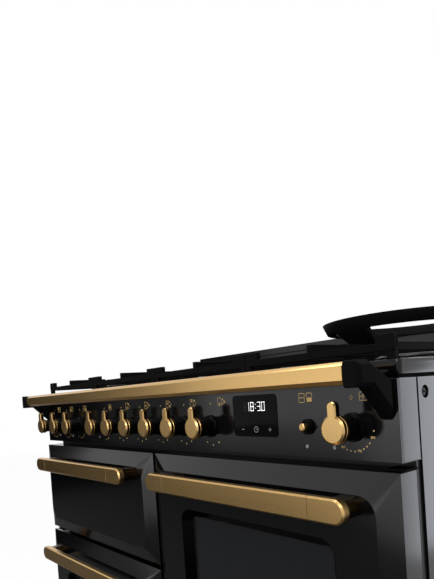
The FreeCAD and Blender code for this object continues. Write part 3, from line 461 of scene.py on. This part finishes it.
# %% [markdown]
# Most pieces are one of a few shop shapes: a bevelled block, a turned part, or a flat print. Each
# helper makes one mesh with bmesh, already in its place, and shades it smooth with a small bevel
# so edges catch the light as pressed and machined edges do.

# %% Mesh helpers
def keep(name, slot, mesh_work, body, materials, replaced=(), bevel=0.0, segments=3, angle=30):
    mesh = bpy.data.meshes.new(name)
    bmesh.ops.recalc_face_normals(mesh_work, faces=mesh_work.faces[:])
    mesh_work.to_mesh(mesh)
    mesh_work.free()
    item = put(name, mesh)
    for material in materials:
        mesh.materials.append(material)
    round_edges(item, bevel, segments, angle)
    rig.ride(item, body)
    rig.slot(item, slot)
    if replaced:
        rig.replaces(item, *replaced)
    return item


def bevel_edges(item, name, width, segments, angle):
    rounding = item.modifiers.new(name, "BEVEL")
    rounding.width, rounding.segments, rounding.limit_method = width, segments, "ANGLE"
    rounding.angle_limit = math.radians(angle)
    rounding.harden_normals = True


def round_edges(item, bevel, segments=3, angle=30):
    if bevel:
        bevel_edges(item, "rounding", bevel, segments, angle)
    for face in item.data.polygons:
        face.use_smooth = True
    item.data.set_sharp_from_angle(angle=math.radians(angle))


def block(work, low, high, material=0):
    made = bmesh.ops.create_cube(work, size=1)["verts"]
    for vert in made:
        vert.co = Vector([low[i] + (vert.co[i] + 0.5) * (high[i] - low[i]) for i in range(3)])
    for face in {face for vert in made for face in vert.link_faces}:
        face.material_index = material


# A ring of profile points (radius, height) turned about an axis through centre
def turned(work, centre, profile, axis="-Y", steps=48, material=0):
    side = {"-Y": (Vector((1, 0, 0)), Vector((0, 0, 1)), Vector((0, -1, 0))),
            "X": (Vector((0, 1, 0)), Vector((0, 0, 1)), Vector((1, 0, 0))),
            "-X": (Vector((0, 1, 0)), Vector((0, 0, 1)), Vector((-1, 0, 0)))}[axis]
    rings = []
    for radius, height in profile:
        middle = Vector(centre) + side[2] * height
        if radius == 0:
            rings.append([work.verts.new(middle)])
            continue
        turns = [FULL_TURN * step / steps for step in range(steps)]
        rings.append([work.verts.new(middle + side[0] * radius * math.cos(a)
                                     + side[1] * radius * math.sin(a)) for a in turns])
    for near, far in zip(rings, rings[1:]):
        for step in range(steps):
            corners = [near[step % len(near)], near[(step + 1) % len(near)],
                       far[(step + 1) % len(far)], far[step % len(far)]]
            face = work.faces.new(list(dict.fromkeys(corners)))
            face.material_index = material


# A plate cut from an outline in the X-Z plane, from depth y0 back to y1
def plate(work, outline, y0, y1, material=0):
    near = [work.verts.new((x, y0, z)) for x, z in outline]
    far = [work.verts.new((x, y1, z)) for x, z in outline]
    faces = [work.faces.new(near), work.faces.new(far[::-1])]
    count = len(outline)
    faces += [work.faces.new((near[i], far[i], far[(i + 1) % count], near[(i + 1) % count]))
              for i in range(count)]
    for face in faces:
        face.material_index = material


def rounded_outline(low, high, radius, steps=8):
    (x0, z0), (x1, z1) = low, high
    corners = [(x1 - radius, z1 - radius, 0), (x0 + radius, z1 - radius, 90),
               (x0 + radius, z0 + radius, 180), (x1 - radius, z0 + radius, 270)]
    return [(x + radius * math.cos(math.radians(a + 90 * i / steps)),
             z + radius * math.sin(math.radians(a + 90 * i / steps)))
            for x, z, a in corners for i in range(steps + 1)]


print("helpers: keep, block, turned, plate, rounded_outline")

# %% [markdown]
# The enamel doors are the largest thing in the picture. Each skin is one pressed sheet: a narrow
# rim, a bevel 29 mm wide that climbs 13 mm to a raised field with rounded corners, and in two
# doors the mouth of a window, whose black bezel belongs to the liner behind. The rim stays square
# while the field is round, so the bevel fans out at each corner; joining two outlines with equal
# counts makes that.

# %% Doors
EDGE, FIELD, BORDER, SHEET = 4.5 * MM, 17.2 * MM, 29.2 * MM, 3 * MM
FIELD_ROUND, RIM_ROUND, INNER_ROUND, SHARP = 27 * MM, 0.8 * MM, 0.3 * MM, 1e-6
WINDOW_IN, WINDOW_HALF, WINDOW_ROUND = 94.2 * MM, 175 * MM, 24 * MM
PRESS_RADIUS, PRESS_ANGLE = 1.4 * MM, 9


def walk(square, radius, steps=8):
    """The same number of points on a square or a rounded outline, so two of them can be joined"""
    return rounded_outline(*square, max(radius, SHARP), steps)


def bridge(work, first, second, material=0):
    count = len(first)
    for i in range(count):
        j = (i + 1) % count
        face = work.faces.new((first[i], first[j], second[j], second[i]))
        face.material_index = material


def ring(work, square, radius, y):
    return [work.verts.new((x, y, z)) for x, z in walk(square, radius)]


def shrink(square, by):
    return ((square[0][0] + by, square[0][1] + by), (square[1][0] - by, square[1][1] - by))


def window_of(square):
    (x0, z0), (x1, z1) = square
    middle = (x0 + x1) / 2
    return ((middle - WINDOW_HALF, z0 + WINDOW_IN), (middle + WINDOW_HALF, z1 - WINDOW_IN))


def enamel_skin(name, body, node, has_window):
    low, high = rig.box(node)
    square = ((low.x, low.z), (high.x, high.z))
    work = bmesh.new()
    rear_inside = ring(work, shrink(square, SHEET), INNER_ROUND, high.y)
    rear = ring(work, square, RIM_ROUND, high.y)
    rim = ring(work, square, RIM_ROUND, FRONT - EDGE)
    field = ring(work, shrink(square, BORDER), FIELD_ROUND, FRONT - FIELD)
    bridge(work, rear_inside, rear)
    bridge(work, rear, rim)
    bridge(work, rim, field)
    if has_window:
        hole = window_of(square)
        mouth = ring(work, hole, WINDOW_ROUND, FRONT - FIELD)
        inside = ring(work, hole, WINDOW_ROUND, FRONT - FIELD + SHEET)
        bridge(work, field, mouth)
        bridge(work, mouth, inside)
    else:
        work.faces.new(field)
    return keep(f"{name}_enamel_skin", "slate_paint", work, body, [slate], [node],
                PRESS_RADIUS, 4, PRESS_ANGLE)


DOORS = (("grill", "grill_door", "grill_door_skin", False),
         ("left", "left_door", "left_door_skin", True),
         ("right", "right_door", "right_door_skin", True),
         ("drawer", "drawer", "drawer_front", False))
for name, body, node, has_window in DOORS:
    skin = enamel_skin(name, body, node, has_window)
    print(skin.name, len(skin.data.polygons), "faces")

# %% [markdown]
# Each door handle is a flat bar of brass with half-round ends, on two posts. The real one is a
# long section with two end castings, so a hairline shows about 58 mm from either end. Three
# bevelled pieces with a gap of 0.8 mm between them give that line without any texture.

# %% Door handles
HANDLE_THICK, HANDLE_CHAMFER, REAR_CHAMFER = 13 * MM, 2.4 * MM, 1.2 * MM
END_LONG, SEAM, END_STEPS = 58 * MM, 0.8 * MM, 16
POST_IN, POST_SUNK, POST_ROUND = 24 * MM, 0.4 * MM, 12 * MM
POST_HALF = Vector((20, 13)) * MM


def stacked(work, outlines, material=0):
    """Closed solid through outlines given as (points, y), front one last"""
    rings = [[work.verts.new((x, y, z)) for x, z in points] for points, y in outlines]
    for near, far in zip(rings, rings[1:]):
        bridge(work, near, far, material)
    for cap in (rings[0], rings[-1][::-1]):
        work.faces.new(cap).material_index = material


def bar_outline(x0, x1, middle, half, inset, round_end):
    """A bar section between x0 and x1, with a half-round end on the side that round_end names"""
    low, high = middle - half + inset, middle + half - inset
    if not round_end:
        return [(x0, low), (x1, low), (x1, high), (x0, high)]
    tip, seam = (x1, x0) if round_end > 0 else (x0, x1)
    centre, radius = tip - round_end * half, half - inset
    turns = [math.radians(-90 + 180 * step / END_STEPS) for step in range(END_STEPS + 1)]
    points = [(centre + round_end * radius * math.cos(a), middle + radius * math.sin(a)) for a in turns]
    return points + [(seam, high), (seam, low)]


def bar_piece(work, x0, x1, z0, z1, front, round_end=0):
    middle, half = (z0 + z1) / 2, (z1 - z0) / 2
    full = bar_outline(x0, x1, middle, half, 0, round_end)
    face = bar_outline(x0, x1, middle, half, HANDLE_CHAMFER, round_end)
    small = bar_outline(x0, x1, middle, half, REAR_CHAMFER, round_end)
    stacked(work, [(small, front + HANDLE_THICK), (full, front + HANDLE_THICK - REAR_CHAMFER),
                   (full, front + HANDLE_CHAMFER), (face, front)])


def door_handle(name, body, node):
    low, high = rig.box(node)
    work = bmesh.new()
    ends = (low.x + END_LONG, high.x - END_LONG)
    bar_piece(work, low.x, ends[0] - SEAM, low.z, high.z, low.y, -1)
    bar_piece(work, ends[0], ends[1], low.z, high.z, low.y)
    bar_piece(work, ends[1] + SEAM, high.x, low.z, high.z, low.y, 1)
    for x in (low.x + POST_IN, high.x - POST_IN):
        middle = Vector((x, (low.z + high.z) / 2))
        post = rounded_outline(middle - POST_HALF, middle + POST_HALF, POST_ROUND)
        # The posts take the dark brass: painted shade
        plate(work, post, low.y + HANDLE_THICK - POST_SUNK, high.y, 1)
    return keep(f"{name}_brass_handle", "brass", work, body, [brass_long, brass_painted_shade], [node],
                0.25 * MM, 2, 20)


for name, body, _, _ in DOORS:
    node = f"{name}_handle" if name == "drawer" else f"{name}_door_handle"
    made = door_handle(name, body, node)
    print(made.name, [round(v, 4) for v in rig.box(node)[0]])

# %% [markdown]
# The towel rail ends in two cast brackets. Seen from the side each is a square cap with an arm that
# slopes back to the fascia. Both cheeks carry a wide chamfer all the way round, so the outline is
# drawn twice, full size and pulled in by the chamfer, and the four loops are joined.

# %% Rail brackets
CHEEK, LEAST_TURN = 5.5 * MM, 0.2
# Side view in millimetres: distance from the fascia's front, height above its foot
ARM = [(-71, 94.6), (-44, 94.6), (0, 52), (0, 101), (-44, 126), (-71, 126)]


def pulled_in(points, by):
    """The outline moved inward by the same distance along every edge"""
    moved = []
    for i, spot in enumerate(points):
        before = (spot - points[i - 1]).normalized()
        after = (points[(i + 1) % len(points)] - spot).normalized()
        side = Vector((-before.y - after.y, before.x + after.x)).normalized()
        moved.append(spot + side * by / max(side.dot(Vector((-after.y, after.x))), LEAST_TURN))
    return moved


def bracket(node):
    low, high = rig.box(node)
    outline = [Vector((FRONT + y * MM, PANEL + z * MM)) for y, z in ARM]
    small = pulled_in(outline, CHEEK)
    work = bmesh.new()
    loops = [[work.verts.new((x, y, z)) for y, z in points] for x, points in
             ((low.x, small), (low.x + CHEEK, outline), (high.x - CHEEK, outline), (high.x, small))]
    for first, second in zip(loops, loops[1:]):
        bridge(work, first, second)
    work.faces.new(loops[0])
    work.faces.new(loops[-1][::-1])
    return keep(f"{node}_cast", "black_bracket", work, "cooker", [satin], [node], 1.6 * MM, 3, 25)


for side in ("left", "right"):
    made = bracket(f"rail_bracket_{side}")
    print(made.name, [round(v, 4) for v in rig.box(f"rail_bracket_{side}")[0]])

# %% [markdown]
# A knob is a black phenolic body with a solid brass face pressed on, cut to a circle with a short
# thumb tab. The face has a turned chamfer, which is the ring of light seen round each knob.

# %% Knobs
KNOB_HIGH = 43.4
CAP_R, TAB_HALF, TAB_TIP = 18.4 * MM, 6.2 * MM, 35.5 * MM
TAB_BACK, TAB_FRONT = 33.4 * MM, 37 * MM
CIRCLE_STEPS, TIP_STEPS, FACING = 64, 16, 0.3
# Radius and distance from the glass, in millimetres
BODY_PROFILE = ((0, 0.4), (19, 0.4), (19, 3), (18, 4), (16.2, 4), (15.6, 5), (15.6, 29.7), (0, 29.7))
CAP_PROFILE = ((0, 29.5), (17.7, 29.5), (18.4, 30.2), (18.4, 34.9), (17.9, 35.4), (17.2, 35.6),
               (17.2, 36.3), (0, 36.3))
# How far the face's circle and its tab are pulled in, and the distance from the glass
FACE_LAYERS = ((0.8, 0.5, 36.1), (0, 0, 36.7), (0, 0, 40.6), (2.6, 1.2, 42.9))


def in_metres(profile):
    return [(radius * MM, height * MM) for radius, height in profile]


def face_outline(centre, inset, tab_inset):
    """The face seen from the front: a circle joined to a thumb tab"""
    radius, half, tip = CAP_R - inset, TAB_HALF - tab_inset, TAB_TIP - tab_inset
    start = math.degrees(math.asin(half / radius))
    circle = [math.radians(90 + start + (360 - 2 * start) * step / CIRCLE_STEPS)
              for step in range(CIRCLE_STEPS + 1)]
    points = [(centre[0] + radius * math.cos(a), centre[1] + radius * math.sin(a)) for a in circle]
    tip_turns = [math.pi * step / TIP_STEPS for step in range(TIP_STEPS + 1)]
    end = tip - half
    return points + [(centre[0] + half * math.cos(a), centre[1] + end + half * math.sin(a))
                     for a in tip_turns]


def knob(number):
    node = f"knob_{number}"
    low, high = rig.box(node)
    x, z = (low.x + high.x) / 2, PANEL + KNOB_HIGH * MM
    work = bmesh.new()
    turned(work, (x, FRONT, z), in_metres(BODY_PROFILE))
    turned(work, (x, FRONT, z), in_metres(CAP_PROFILE), steps=64, material=1)
    stacked(work, [(face_outline((x, z), inset * MM, tab_inset * MM), FRONT - height * MM)
                   for inset, tab_inset, height in FACE_LAYERS], 1)
    tip = [math.radians(a) for a in range(0, 181, 12)]
    tab = [(-TAB_HALF, 0), (TAB_HALF, 0)] + [
        (TAB_HALF * math.cos(a), TAB_TIP - TAB_HALF + TAB_HALF * math.sin(a)) for a in tip]
    plate(work, [(x + u, z + w) for u, w in tab], FRONT - TAB_FRONT, FRONT - TAB_BACK, 1)
    work.normal_update()
    bmesh.ops.recalc_face_normals(work, faces=work.faces[:])
    # Brass faces that look sideways (the cap's rim and the tab's sides) take the dark brass: painted shade
    for face in work.faces:
        if face.material_index == 1 and abs(face.normal.y) < FACING:
            face.material_index = 2
    return keep(f"{node}_turned", "brass", work, node, [moulded, brass_cap, brass_painted_shade], [node], 0, 1, 20)


for number in range(1, 11):
    knob(number)
print("10 knobs")

# %% [markdown]
# The printing on the fascia is fired gold enamel: cells that show the zones, small pictures of the
# burner layout, dots round each dial and the dial numbers. A picture texture would blur from close
# by, so each mark is a plate 0.06 mm thick that stands on the glass.

# %% Marks and digits
PRINT, SUNK = 0.06 * MM, 0.01 * MM
FRAME_WIDE, BAR_HALF, CELL_GAP = 0.8, 0.4, 0.06
FIGURE_TALL, FIGURE_WIDE, FIGURE_STEP, FIGURE_STROKE = 3.4, 0.55, 1.35, 0.62


def mark(work, x0, z0, x1, z1, lift=PRINT):
    """A filled rectangle on the glass, given in millimetres from the fascia's middle and foot"""
    block(work, (x0 * MM, FRONT - lift, PANEL + z0 * MM), (x1 * MM, FRONT - SUNK, PANEL + z1 * MM))


def frame_mark(work, x0, z0, x1, z1, width=FRAME_WIDE):
    mark(work, x0, z0, x1, z0 + width)
    mark(work, x0, z1 - width, x1, z1)
    mark(work, x0, z0, x0 + width, z1)
    mark(work, x1 - width, z0, x1, z1)


def dot(work, x, z, radius):
    turns = [math.radians(a) for a in range(0, 360, 30)]
    points = [(x + radius * math.cos(a), z + radius * math.sin(a)) for a in turns]
    plate(work, [(u * MM, PANEL + w * MM) for u, w in points], FRONT - PRINT, FRONT - SUNK)


# Seven strokes of a digit: top, upper left, upper right, middle, lower left, lower right, foot
STROKES = {"0": "1110111", "1": "0010010", "2": "1011101", "3": "1011011", "4": "0111010",
           "5": "1101011", "6": "1101111", "7": "1010010", "8": "1111111", "9": "1111011"}


def digit(work, figure, x, z, wide, tall, width, draw=mark):
    half, right, top = z + tall / 2, x + wide, z + tall
    spots = ((x, top - width, right, top), (x, half, x + width, top), (right - width, half, right, top),
             (x, half - width / 2, right, half + width / 2), (x, z, x + width, half),
             (right - width, z, right, half), (x, z, right, z + width))
    for on, spot in zip(STROKES[figure], spots):
        if on == "1":
            draw(work, *spot)


def number(work, text, x, z):
    wide = FIGURE_TALL * FIGURE_WIDE
    step = wide * FIGURE_STEP
    start = x - ((len(text) - 1) * step + wide) / 2
    for place, figure in enumerate(text):
        digit(work, figure, start + place * step, z - FIGURE_TALL / 2, wide, FIGURE_TALL, FIGURE_STROKE)


def cell_pair(work, x0, z0, x1, z1, filled):
    """The zone picture: two columns of two cells, with the filled ones solid"""
    gap = (x1 - x0) * CELL_GAP
    middle, level = (x0 + x1) / 2, (z0 + z1) / 2
    columns = ((x0, middle - gap), (middle + gap, x1))
    for i, (left, right) in enumerate(columns):
        frame_mark(work, left, z0, right, z1)
        mark(work, left, level - BAR_HALF, right, level + BAR_HALF)
        for row in (0, 1):
            if (i, row) in filled:
                mark(work, left, (z0, level)[row], right, (level, z1)[row])


print("marks: bar, frame, dot, digit, number, cell pair")

# %% [markdown]
# Every dial has its own set of marks, so they are kept as short tables of places in millimetres,
# measured from the middle of the dial across and from the foot of the fascia upward.

# %% Printed marks
KNOB_X = [(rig.box(f"knob_{i}")[0].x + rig.box(f"knob_{i}")[1].x) / 2 / MM for i in range(1, 11)]
OVENS, LIGHT, BURNERS_END = 3, 3, 9  # dials 0 to 2 turn ovens, 3 a light, 4 to 8 burners
OFF_SIDE, OFF_HIGH = 3, 82.2
OVEN_CELLS = {0: {(0, 1)}, 1: {(0, 0)}, 2: {(1, 0)}}  # column and row that each oven dial fills
OVEN_DOTS = ((-14, 15.8), (-7, 12.6), (0, 11.4), (7, 12.4), (14, 15.4), (20, 20))
LIGHT_DOTS = ((4, 11), (14, 14))
FLAME_DOTS = ((-12, 15.4), (4, 11), (19.5, 15.8))
PLATE_SIDE, PLATE_DOTS = 23, ((13.5, 80.5), (13.5, 88.5), (17.5, 84.5))
RING_R, RING_DOT = 31.4, 1.0
RING_PLAIN = (-8, -40, -51, -62, -88, -100, -111, -138, -149, -160, -188, -199, -210)
RING_NUMBERS = {-24: "100", -75: "140", -124: "180", -174: "220"}
prints = bmesh.new()


def dots(places, x, radius):
    for dx, z in places:
        dot(prints, x + dx, z, radius)


for i, x in enumerate(KNOB_X):
    if i < OVENS:
        cell_pair(prints, x + 24, 77.5, x + 42, 90.5, OVEN_CELLS[i])
        dot(prints, x + OFF_SIDE, OFF_HIGH, 1.3)
        dots(OVEN_DOTS, x, 0.9)
    elif i == LIGHT:
        frame_mark(prints, x + 24, 78, x + 37, 90)
        mark(prints, x + 27.5, 81.5, x + 33.5, 86.5)
        dot(prints, x + OFF_SIDE, OFF_HIGH, 1.3)
        dots(LIGHT_DOTS, x, 1.2)
    elif i < BURNERS_END:
        dot(prints, x + OFF_SIDE, OFF_HIGH, 1.4)
        left = x + PLATE_SIDE
        frame_mark(prints, left, 77.7, left + 10, 91.3, 0.7)
        for k, (dx, z) in enumerate(PLATE_DOTS):
            dot(prints, left + dx, z, 1.9 if k == i % 3 else 1.2)
        dot(prints, left + 5, 81.2 + 2.2 * (i % 4), 1.7)
        dots(FLAME_DOTS, x, 1.25)
cell_pair(prints, 389, 77.5, 414, 91, {(1, 0)})
for dx, dz in ((-1.9, 0), (1.9, 0), (0, -2.3), (0, 2.3)):
    dot(prints, KNOB_X[9] + dx, 81.8 + dz, 0.75)
frame_mark(prints, 491, 77, 503, 88.6)
mark(prints, 491, 82.4, 503, 83.2)
mark(prints, 496.6, 77, 497.4, 88.6)
for degrees in sorted((*RING_PLAIN, *RING_NUMBERS), reverse=True):
    turn = math.radians(degrees)
    spot = (KNOB_X[9] + RING_R * math.cos(turn), KNOB_HIGH + RING_R * math.sin(turn))
    if degrees in RING_NUMBERS:
        number(prints, RING_NUMBERS[degrees], *spot)
    else:
        dot(prints, *spot, RING_DOT)
keep("fascia_prints", "brass", prints, "cooker", [print_gold])
print(len(KNOB_X), "dials with marks")

# %% [markdown]
# The clock shows a time in seven-stroke figures, with one spare figure unlit and three touch marks
# below: less, a clock and more. A lit picture would do, but thin plates stay sharp, so all of
# them stand a little proud of the clock's own glass.

# %% Clock
CLOCK_LIFT, CLOCK_BACK = 0.86 * MM, 0.79 * MM
FIGURES = (("1", 278.2), ("8", 288.5), ("3", 303.5), ("0", 313))
FIGURE_LOW, LIT_WIDE, SPARE_WIDE, LIT_TALL = 67.6, 6.8, 6.6, 13.8
LIT_STROKE, SPARE_STROKE, COLON_X, COLON_SIDE = 0.85, 1.15, 298.9, 1.3
LESS_AND_MORE = ((265.2, 38.4, 270.8, 39.2), (325.3, 38.4, 330.9, 39.2), (327.7, 36, 328.5, 41.6))
HANDS = ((297.7, 38.8, 298.3, 41.6), (297.7, 38.5, 300.2, 39.1))
DIAL_X, DIAL_Z, DIAL_OUT, DIAL_IN, DIAL_STEPS = 298, 38.8, 4.9, 4.2, 16
lit, dim, touch = bmesh.new(), bmesh.new(), bmesh.new()


def lit_stroke(work, x0, z0, x1, z1):
    mark(work, x0, z0, x1, z1, CLOCK_LIFT)


for figure, x in FIGURES:
    digit(lit, figure, x, FIGURE_LOW, LIT_WIDE, LIT_TALL, LIT_STROKE, lit_stroke)
for z in (71.2, 77.2):
    lit_stroke(lit, COLON_X, z, COLON_X + COLON_SIDE, z + COLON_SIDE)
digit(dim, "8", 272.5, FIGURE_LOW, SPARE_WIDE, LIT_TALL, SPARE_STROKE, lit_stroke)
for bar in LESS_AND_MORE:
    lit_stroke(touch, *bar)
for step in range(DIAL_STEPS):
    a0, a1 = FULL_TURN * step / DIAL_STEPS, FULL_TURN * (step + 1) / DIAL_STEPS
    corners = [((DIAL_X + r * math.cos(a)) * MM, PANEL + (DIAL_Z + r * math.sin(a)) * MM)
               for a, r in ((a0, DIAL_OUT), (a1, DIAL_OUT), (a1, DIAL_IN), (a0, DIAL_IN))]
    plate(touch, corners, FRONT - CLOCK_LIFT, FRONT - CLOCK_BACK)
for hand in HANDS:
    lit_stroke(touch, *hand)
keep("clock_digits", "display_glass", lit, "cooker", [digits])
keep("clock_touch_marks", "display_glass", touch, "cooker", [touch_grey])
keep("clock_spare_digit", "display_glass", dim, "cooker", [ghost])
print("clock with", len(FIGURES), "figures")

# %% [markdown]
# The hob is one pressed tray. Its rim turns down over the top of the cabinet as a painted band,
# black at the front, above a recessed skirt. Inside, the floor is black enamel and slopes up to
# the rim, so spills stay in. One closed loop of section points, repeated round a rounded
# rectangle, gives the rim without the seams that four separate bars would show.

# %% Hob tray
FOOT_UP, RIM_WIDE, TRAY_ROUND, TRAY_STEPS = 5.1 * MM, 9 * MM, 6 * MM, 6
SKIRT_IN, SKIRT_INNER, SKIRT_ROUND, LEAST_ROUND = 6 * MM, 10 * MM, 2 * MM, 0.5 * MM


def loop(work, low, high, radius, z):
    return [work.verts.new((x, y, z)) for x, y in walk((low, high), radius, TRAY_STEPS)]


def section_round(work, low, high, radius, profile, material=0):
    """Sweeps (inset, height) pairs round a rounded rectangle"""
    loops = []
    for inset, z in profile:
        near = (low[0] + inset, low[1] + inset)
        far = (high[0] - inset, high[1] - inset)
        loops.append(loop(work, near, far, radius - min(inset, radius - LEAST_ROUND), z))
    for first, second in zip(loops, loops[1:]):
        bridge(work, first, second, material)
    return loops


low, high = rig.box("hob_tray")
foot, top = low.z + FOOT_UP, high.z
# The rim's section: inset and height, from under the band up and over into the well
RIM = [(14 * MM, foot), (0.4 * MM, foot), (0, foot + 0.6 * MM), (0, top - 1.4 * MM),
       (0.4 * MM, top - 0.4 * MM), (1.4 * MM, top), (11 * MM, top), (13 * MM, top - 1 * MM),
       (17 * MM, top - 6 * MM)]
SKIRT = [(SKIRT_IN, low.z), (SKIRT_IN, foot), (SKIRT_INNER, foot), (SKIRT_INNER, low.z), (SKIRT_IN, low.z)]
tray = bmesh.new()
floor_loop = section_round(tray, (low.x, low.y), (high.x, high.y), TRAY_ROUND, RIM)[-1]
tray.faces.new(floor_loop).material_index = 1
for face in tray.faces:
    middle = face.calc_center_median()
    inside = abs(middle.x) < high.x - RIM_WIDE and abs(middle.y) < high.y - RIM_WIDE
    if inside or middle.y < low.y + RIM_WIDE:
        face.material_index = 1
section_round(tray, (low.x, low.y), (high.x, high.y), SKIRT_ROUND, SKIRT, 2)
keep("hob_tray_pressed", "slate_paint", tray, "cooker", [slate, enamel, satin], ["hob_tray"], 0, 1, 35)
print("hob tray", [round(v, 4) for v in (*low, *high)])

# %% [markdown]
# Below its paler top the upstand carries a black splash strip, pressed with a lip along its upper
# edge. From the front it makes a dark line just above the grate.

# %% Splash strip
UPSTAND_LIP, STRIP_LOW, STRIP_TOP = 10 * MM, 104 * MM, 179 * MM
STRIP_THICK, LIP, CLEAR = 0.8 * MM, 2 * MM, 0.02 * MM
low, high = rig.box("rear_upstand")
face_y = low.y + UPSTAND_LIP
x0, x1 = low.x + STRIP_THICK, high.x - STRIP_THICK
lip_z = PANEL + STRIP_TOP - LIP
strip = bmesh.new()
block(strip, (x0, face_y - STRIP_THICK, PANEL + STRIP_LOW), (x1, face_y - CLEAR, lip_z))
block(strip, (x0, face_y - 2 * STRIP_THICK, lip_z), (x1, face_y - CLEAR, PANEL + STRIP_TOP))
keep("upstand_splash_strip", "black_enamel", strip, "cooker", [satin], [], 0.3 * MM, 2)
print("splash strip in front of", round(face_y, 4))

# %% [markdown]
# Each side wall is held by sunk screws. Their heads are domed and have a round drive in the middle,
# turned here about the X axis from a profile of seven points.

# %% Side screws
SCREW_R, SCREW_TALL, SCREW_STEPS = 6.5 * MM, 2.5 * MM, 32
HEAD = [(1, 0), (1, 0.32), (0.88, 0.7), (0.6, 0.92), (0.34, 1), (0.3, 0.35), (0, 0.3)]
low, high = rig.box("side_screws")
heads = bmesh.new()
for z in (low.z + SCREW_R, high.z - SCREW_R):
    for axis, x in (("X", high.x - SCREW_TALL), ("-X", low.x + SCREW_TALL)):
        profile = [(r * SCREW_R, h * SCREW_TALL) for r, h in HEAD]
        turned(heads, (x, (low.y + high.y) / 2, z), profile, axis, SCREW_STEPS)
keep("side_screw_heads", "black_steel", heads, "cooker", [steel_black], ["side_screws"], 0, 1, 40)
print("screw heads", [round(v, 4) for v in (*low, *high)])

# %% [markdown]
# The pieces that the CAD already shapes truly keep their solids. A weld joins the split corners
# of the imported mesh, flat neighbours are made one face, a fine bevel gives each edge its real
# radius, and the finish goes on. Faces with holes in them are left as they come, because joining
# them would close the holes.

# %% Finishes and edge radii for the CAD nodes
PIERCED = ("side_panel_left", "side_panel_right", "left_door_liner", "right_door_liner", "base_frame",
           "back_panel", "wok_ring")
WELD_REACH, FLAT_ANGLE, EDGE_ANGLE, EDGE_SEGMENTS = 0.00001, 0.5, 30, 2
nodes = frame["nodes"]


def dress(node, material, radius_mm):
    item = nodes[node]
    for slot in item.material_slots:
        slot.material = material
    if not item.material_slots:
        item.data.materials.append(material)
    if radius_mm:
        item.modifiers.new("join_corners", "WELD").merge_threshold = WELD_REACH
        if node not in PIERCED:
            flat = item.modifiers.new("flat_faces", "DECIMATE")
            flat.decimate_type, flat.angle_limit = "DISSOLVE", math.radians(FLAT_ANGLE)
        bevel_edges(item, "edge_radius", radius_mm * MM, EDGE_SEGMENTS, EDGE_ANGLE)


# Each finish with the nodes that wear it and the radius of their edges in millimetres
FINISHES = (
    (slate, {"side_panel_left": 0.8, "side_panel_right": 0.8, "plinth": 0.6, "fascia_box": 0.3,
             "rear_upstand": 0.3}),
    (zinc, {"back_panel": 0.5, "base_frame": 0.5, "levelling_feet": 0.5, "drawer_box": 0.4}),
    (steel_black, {"front_frame": 0.5}),
    (panel_black, {"fascia_glass": 0.5}),
    (clock_black, {"clock_display": 0.2}),
    (lens_clear, {"indicator_lenses": 0.2}),
    (moulded, {"button_collar": 0.4}),
    (brass_cap, {"light_button": 0}),
    (brass_long, {"handrail_bar": 0.5}),
    (alloy, {"burner_heads": 0.4, "valves_and_switches": 0.3}),
    (iron, {"pan_support_1": 0.9, "pan_support_2": 0.9, "pan_support_3": 0.9, "pan_support_4": 0.9,
            "wok_ring": 0.9}),
    (speckled, {"grill_liner": 0.5, "left_oven_liner": 0.5, "right_oven_liner": 0.5}),
    (chrome, {"oven_shelves": 0}),
    (satin, {"grill_door_liner": 0.5, "door_hinges": 0.3}),
    (gloss, {"left_door_liner": 0.6, "right_door_liner": 0.6}),
    (smoked, {"left_door_glass": 0, "right_door_glass": 0}),
    (enamel, {f"burner_cap_{cap}": 0.5 for cap in range(1, 6)}),
)
for material, worn in FINISHES:
    for node, radius in worn.items():
        dress(node, material, radius)
dressed = {node for _, worn in FINISHES for node in worn}
print(len(dressed), "nodes dressed, the rest are replaced:",
      all(nodes[name].hide_render for name in nodes if name not in dressed))

# %% [markdown]
# The box of the finished model goes to disk beside the box that the CAD came with, so that the two can be compared.

# %% Sizes and finish
with open("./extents.json", "w") as out:
    json.dump({"cad": cad_box, "visual": [list(corner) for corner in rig.bounds()]}, out)
print(json.load(open("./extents.json")))
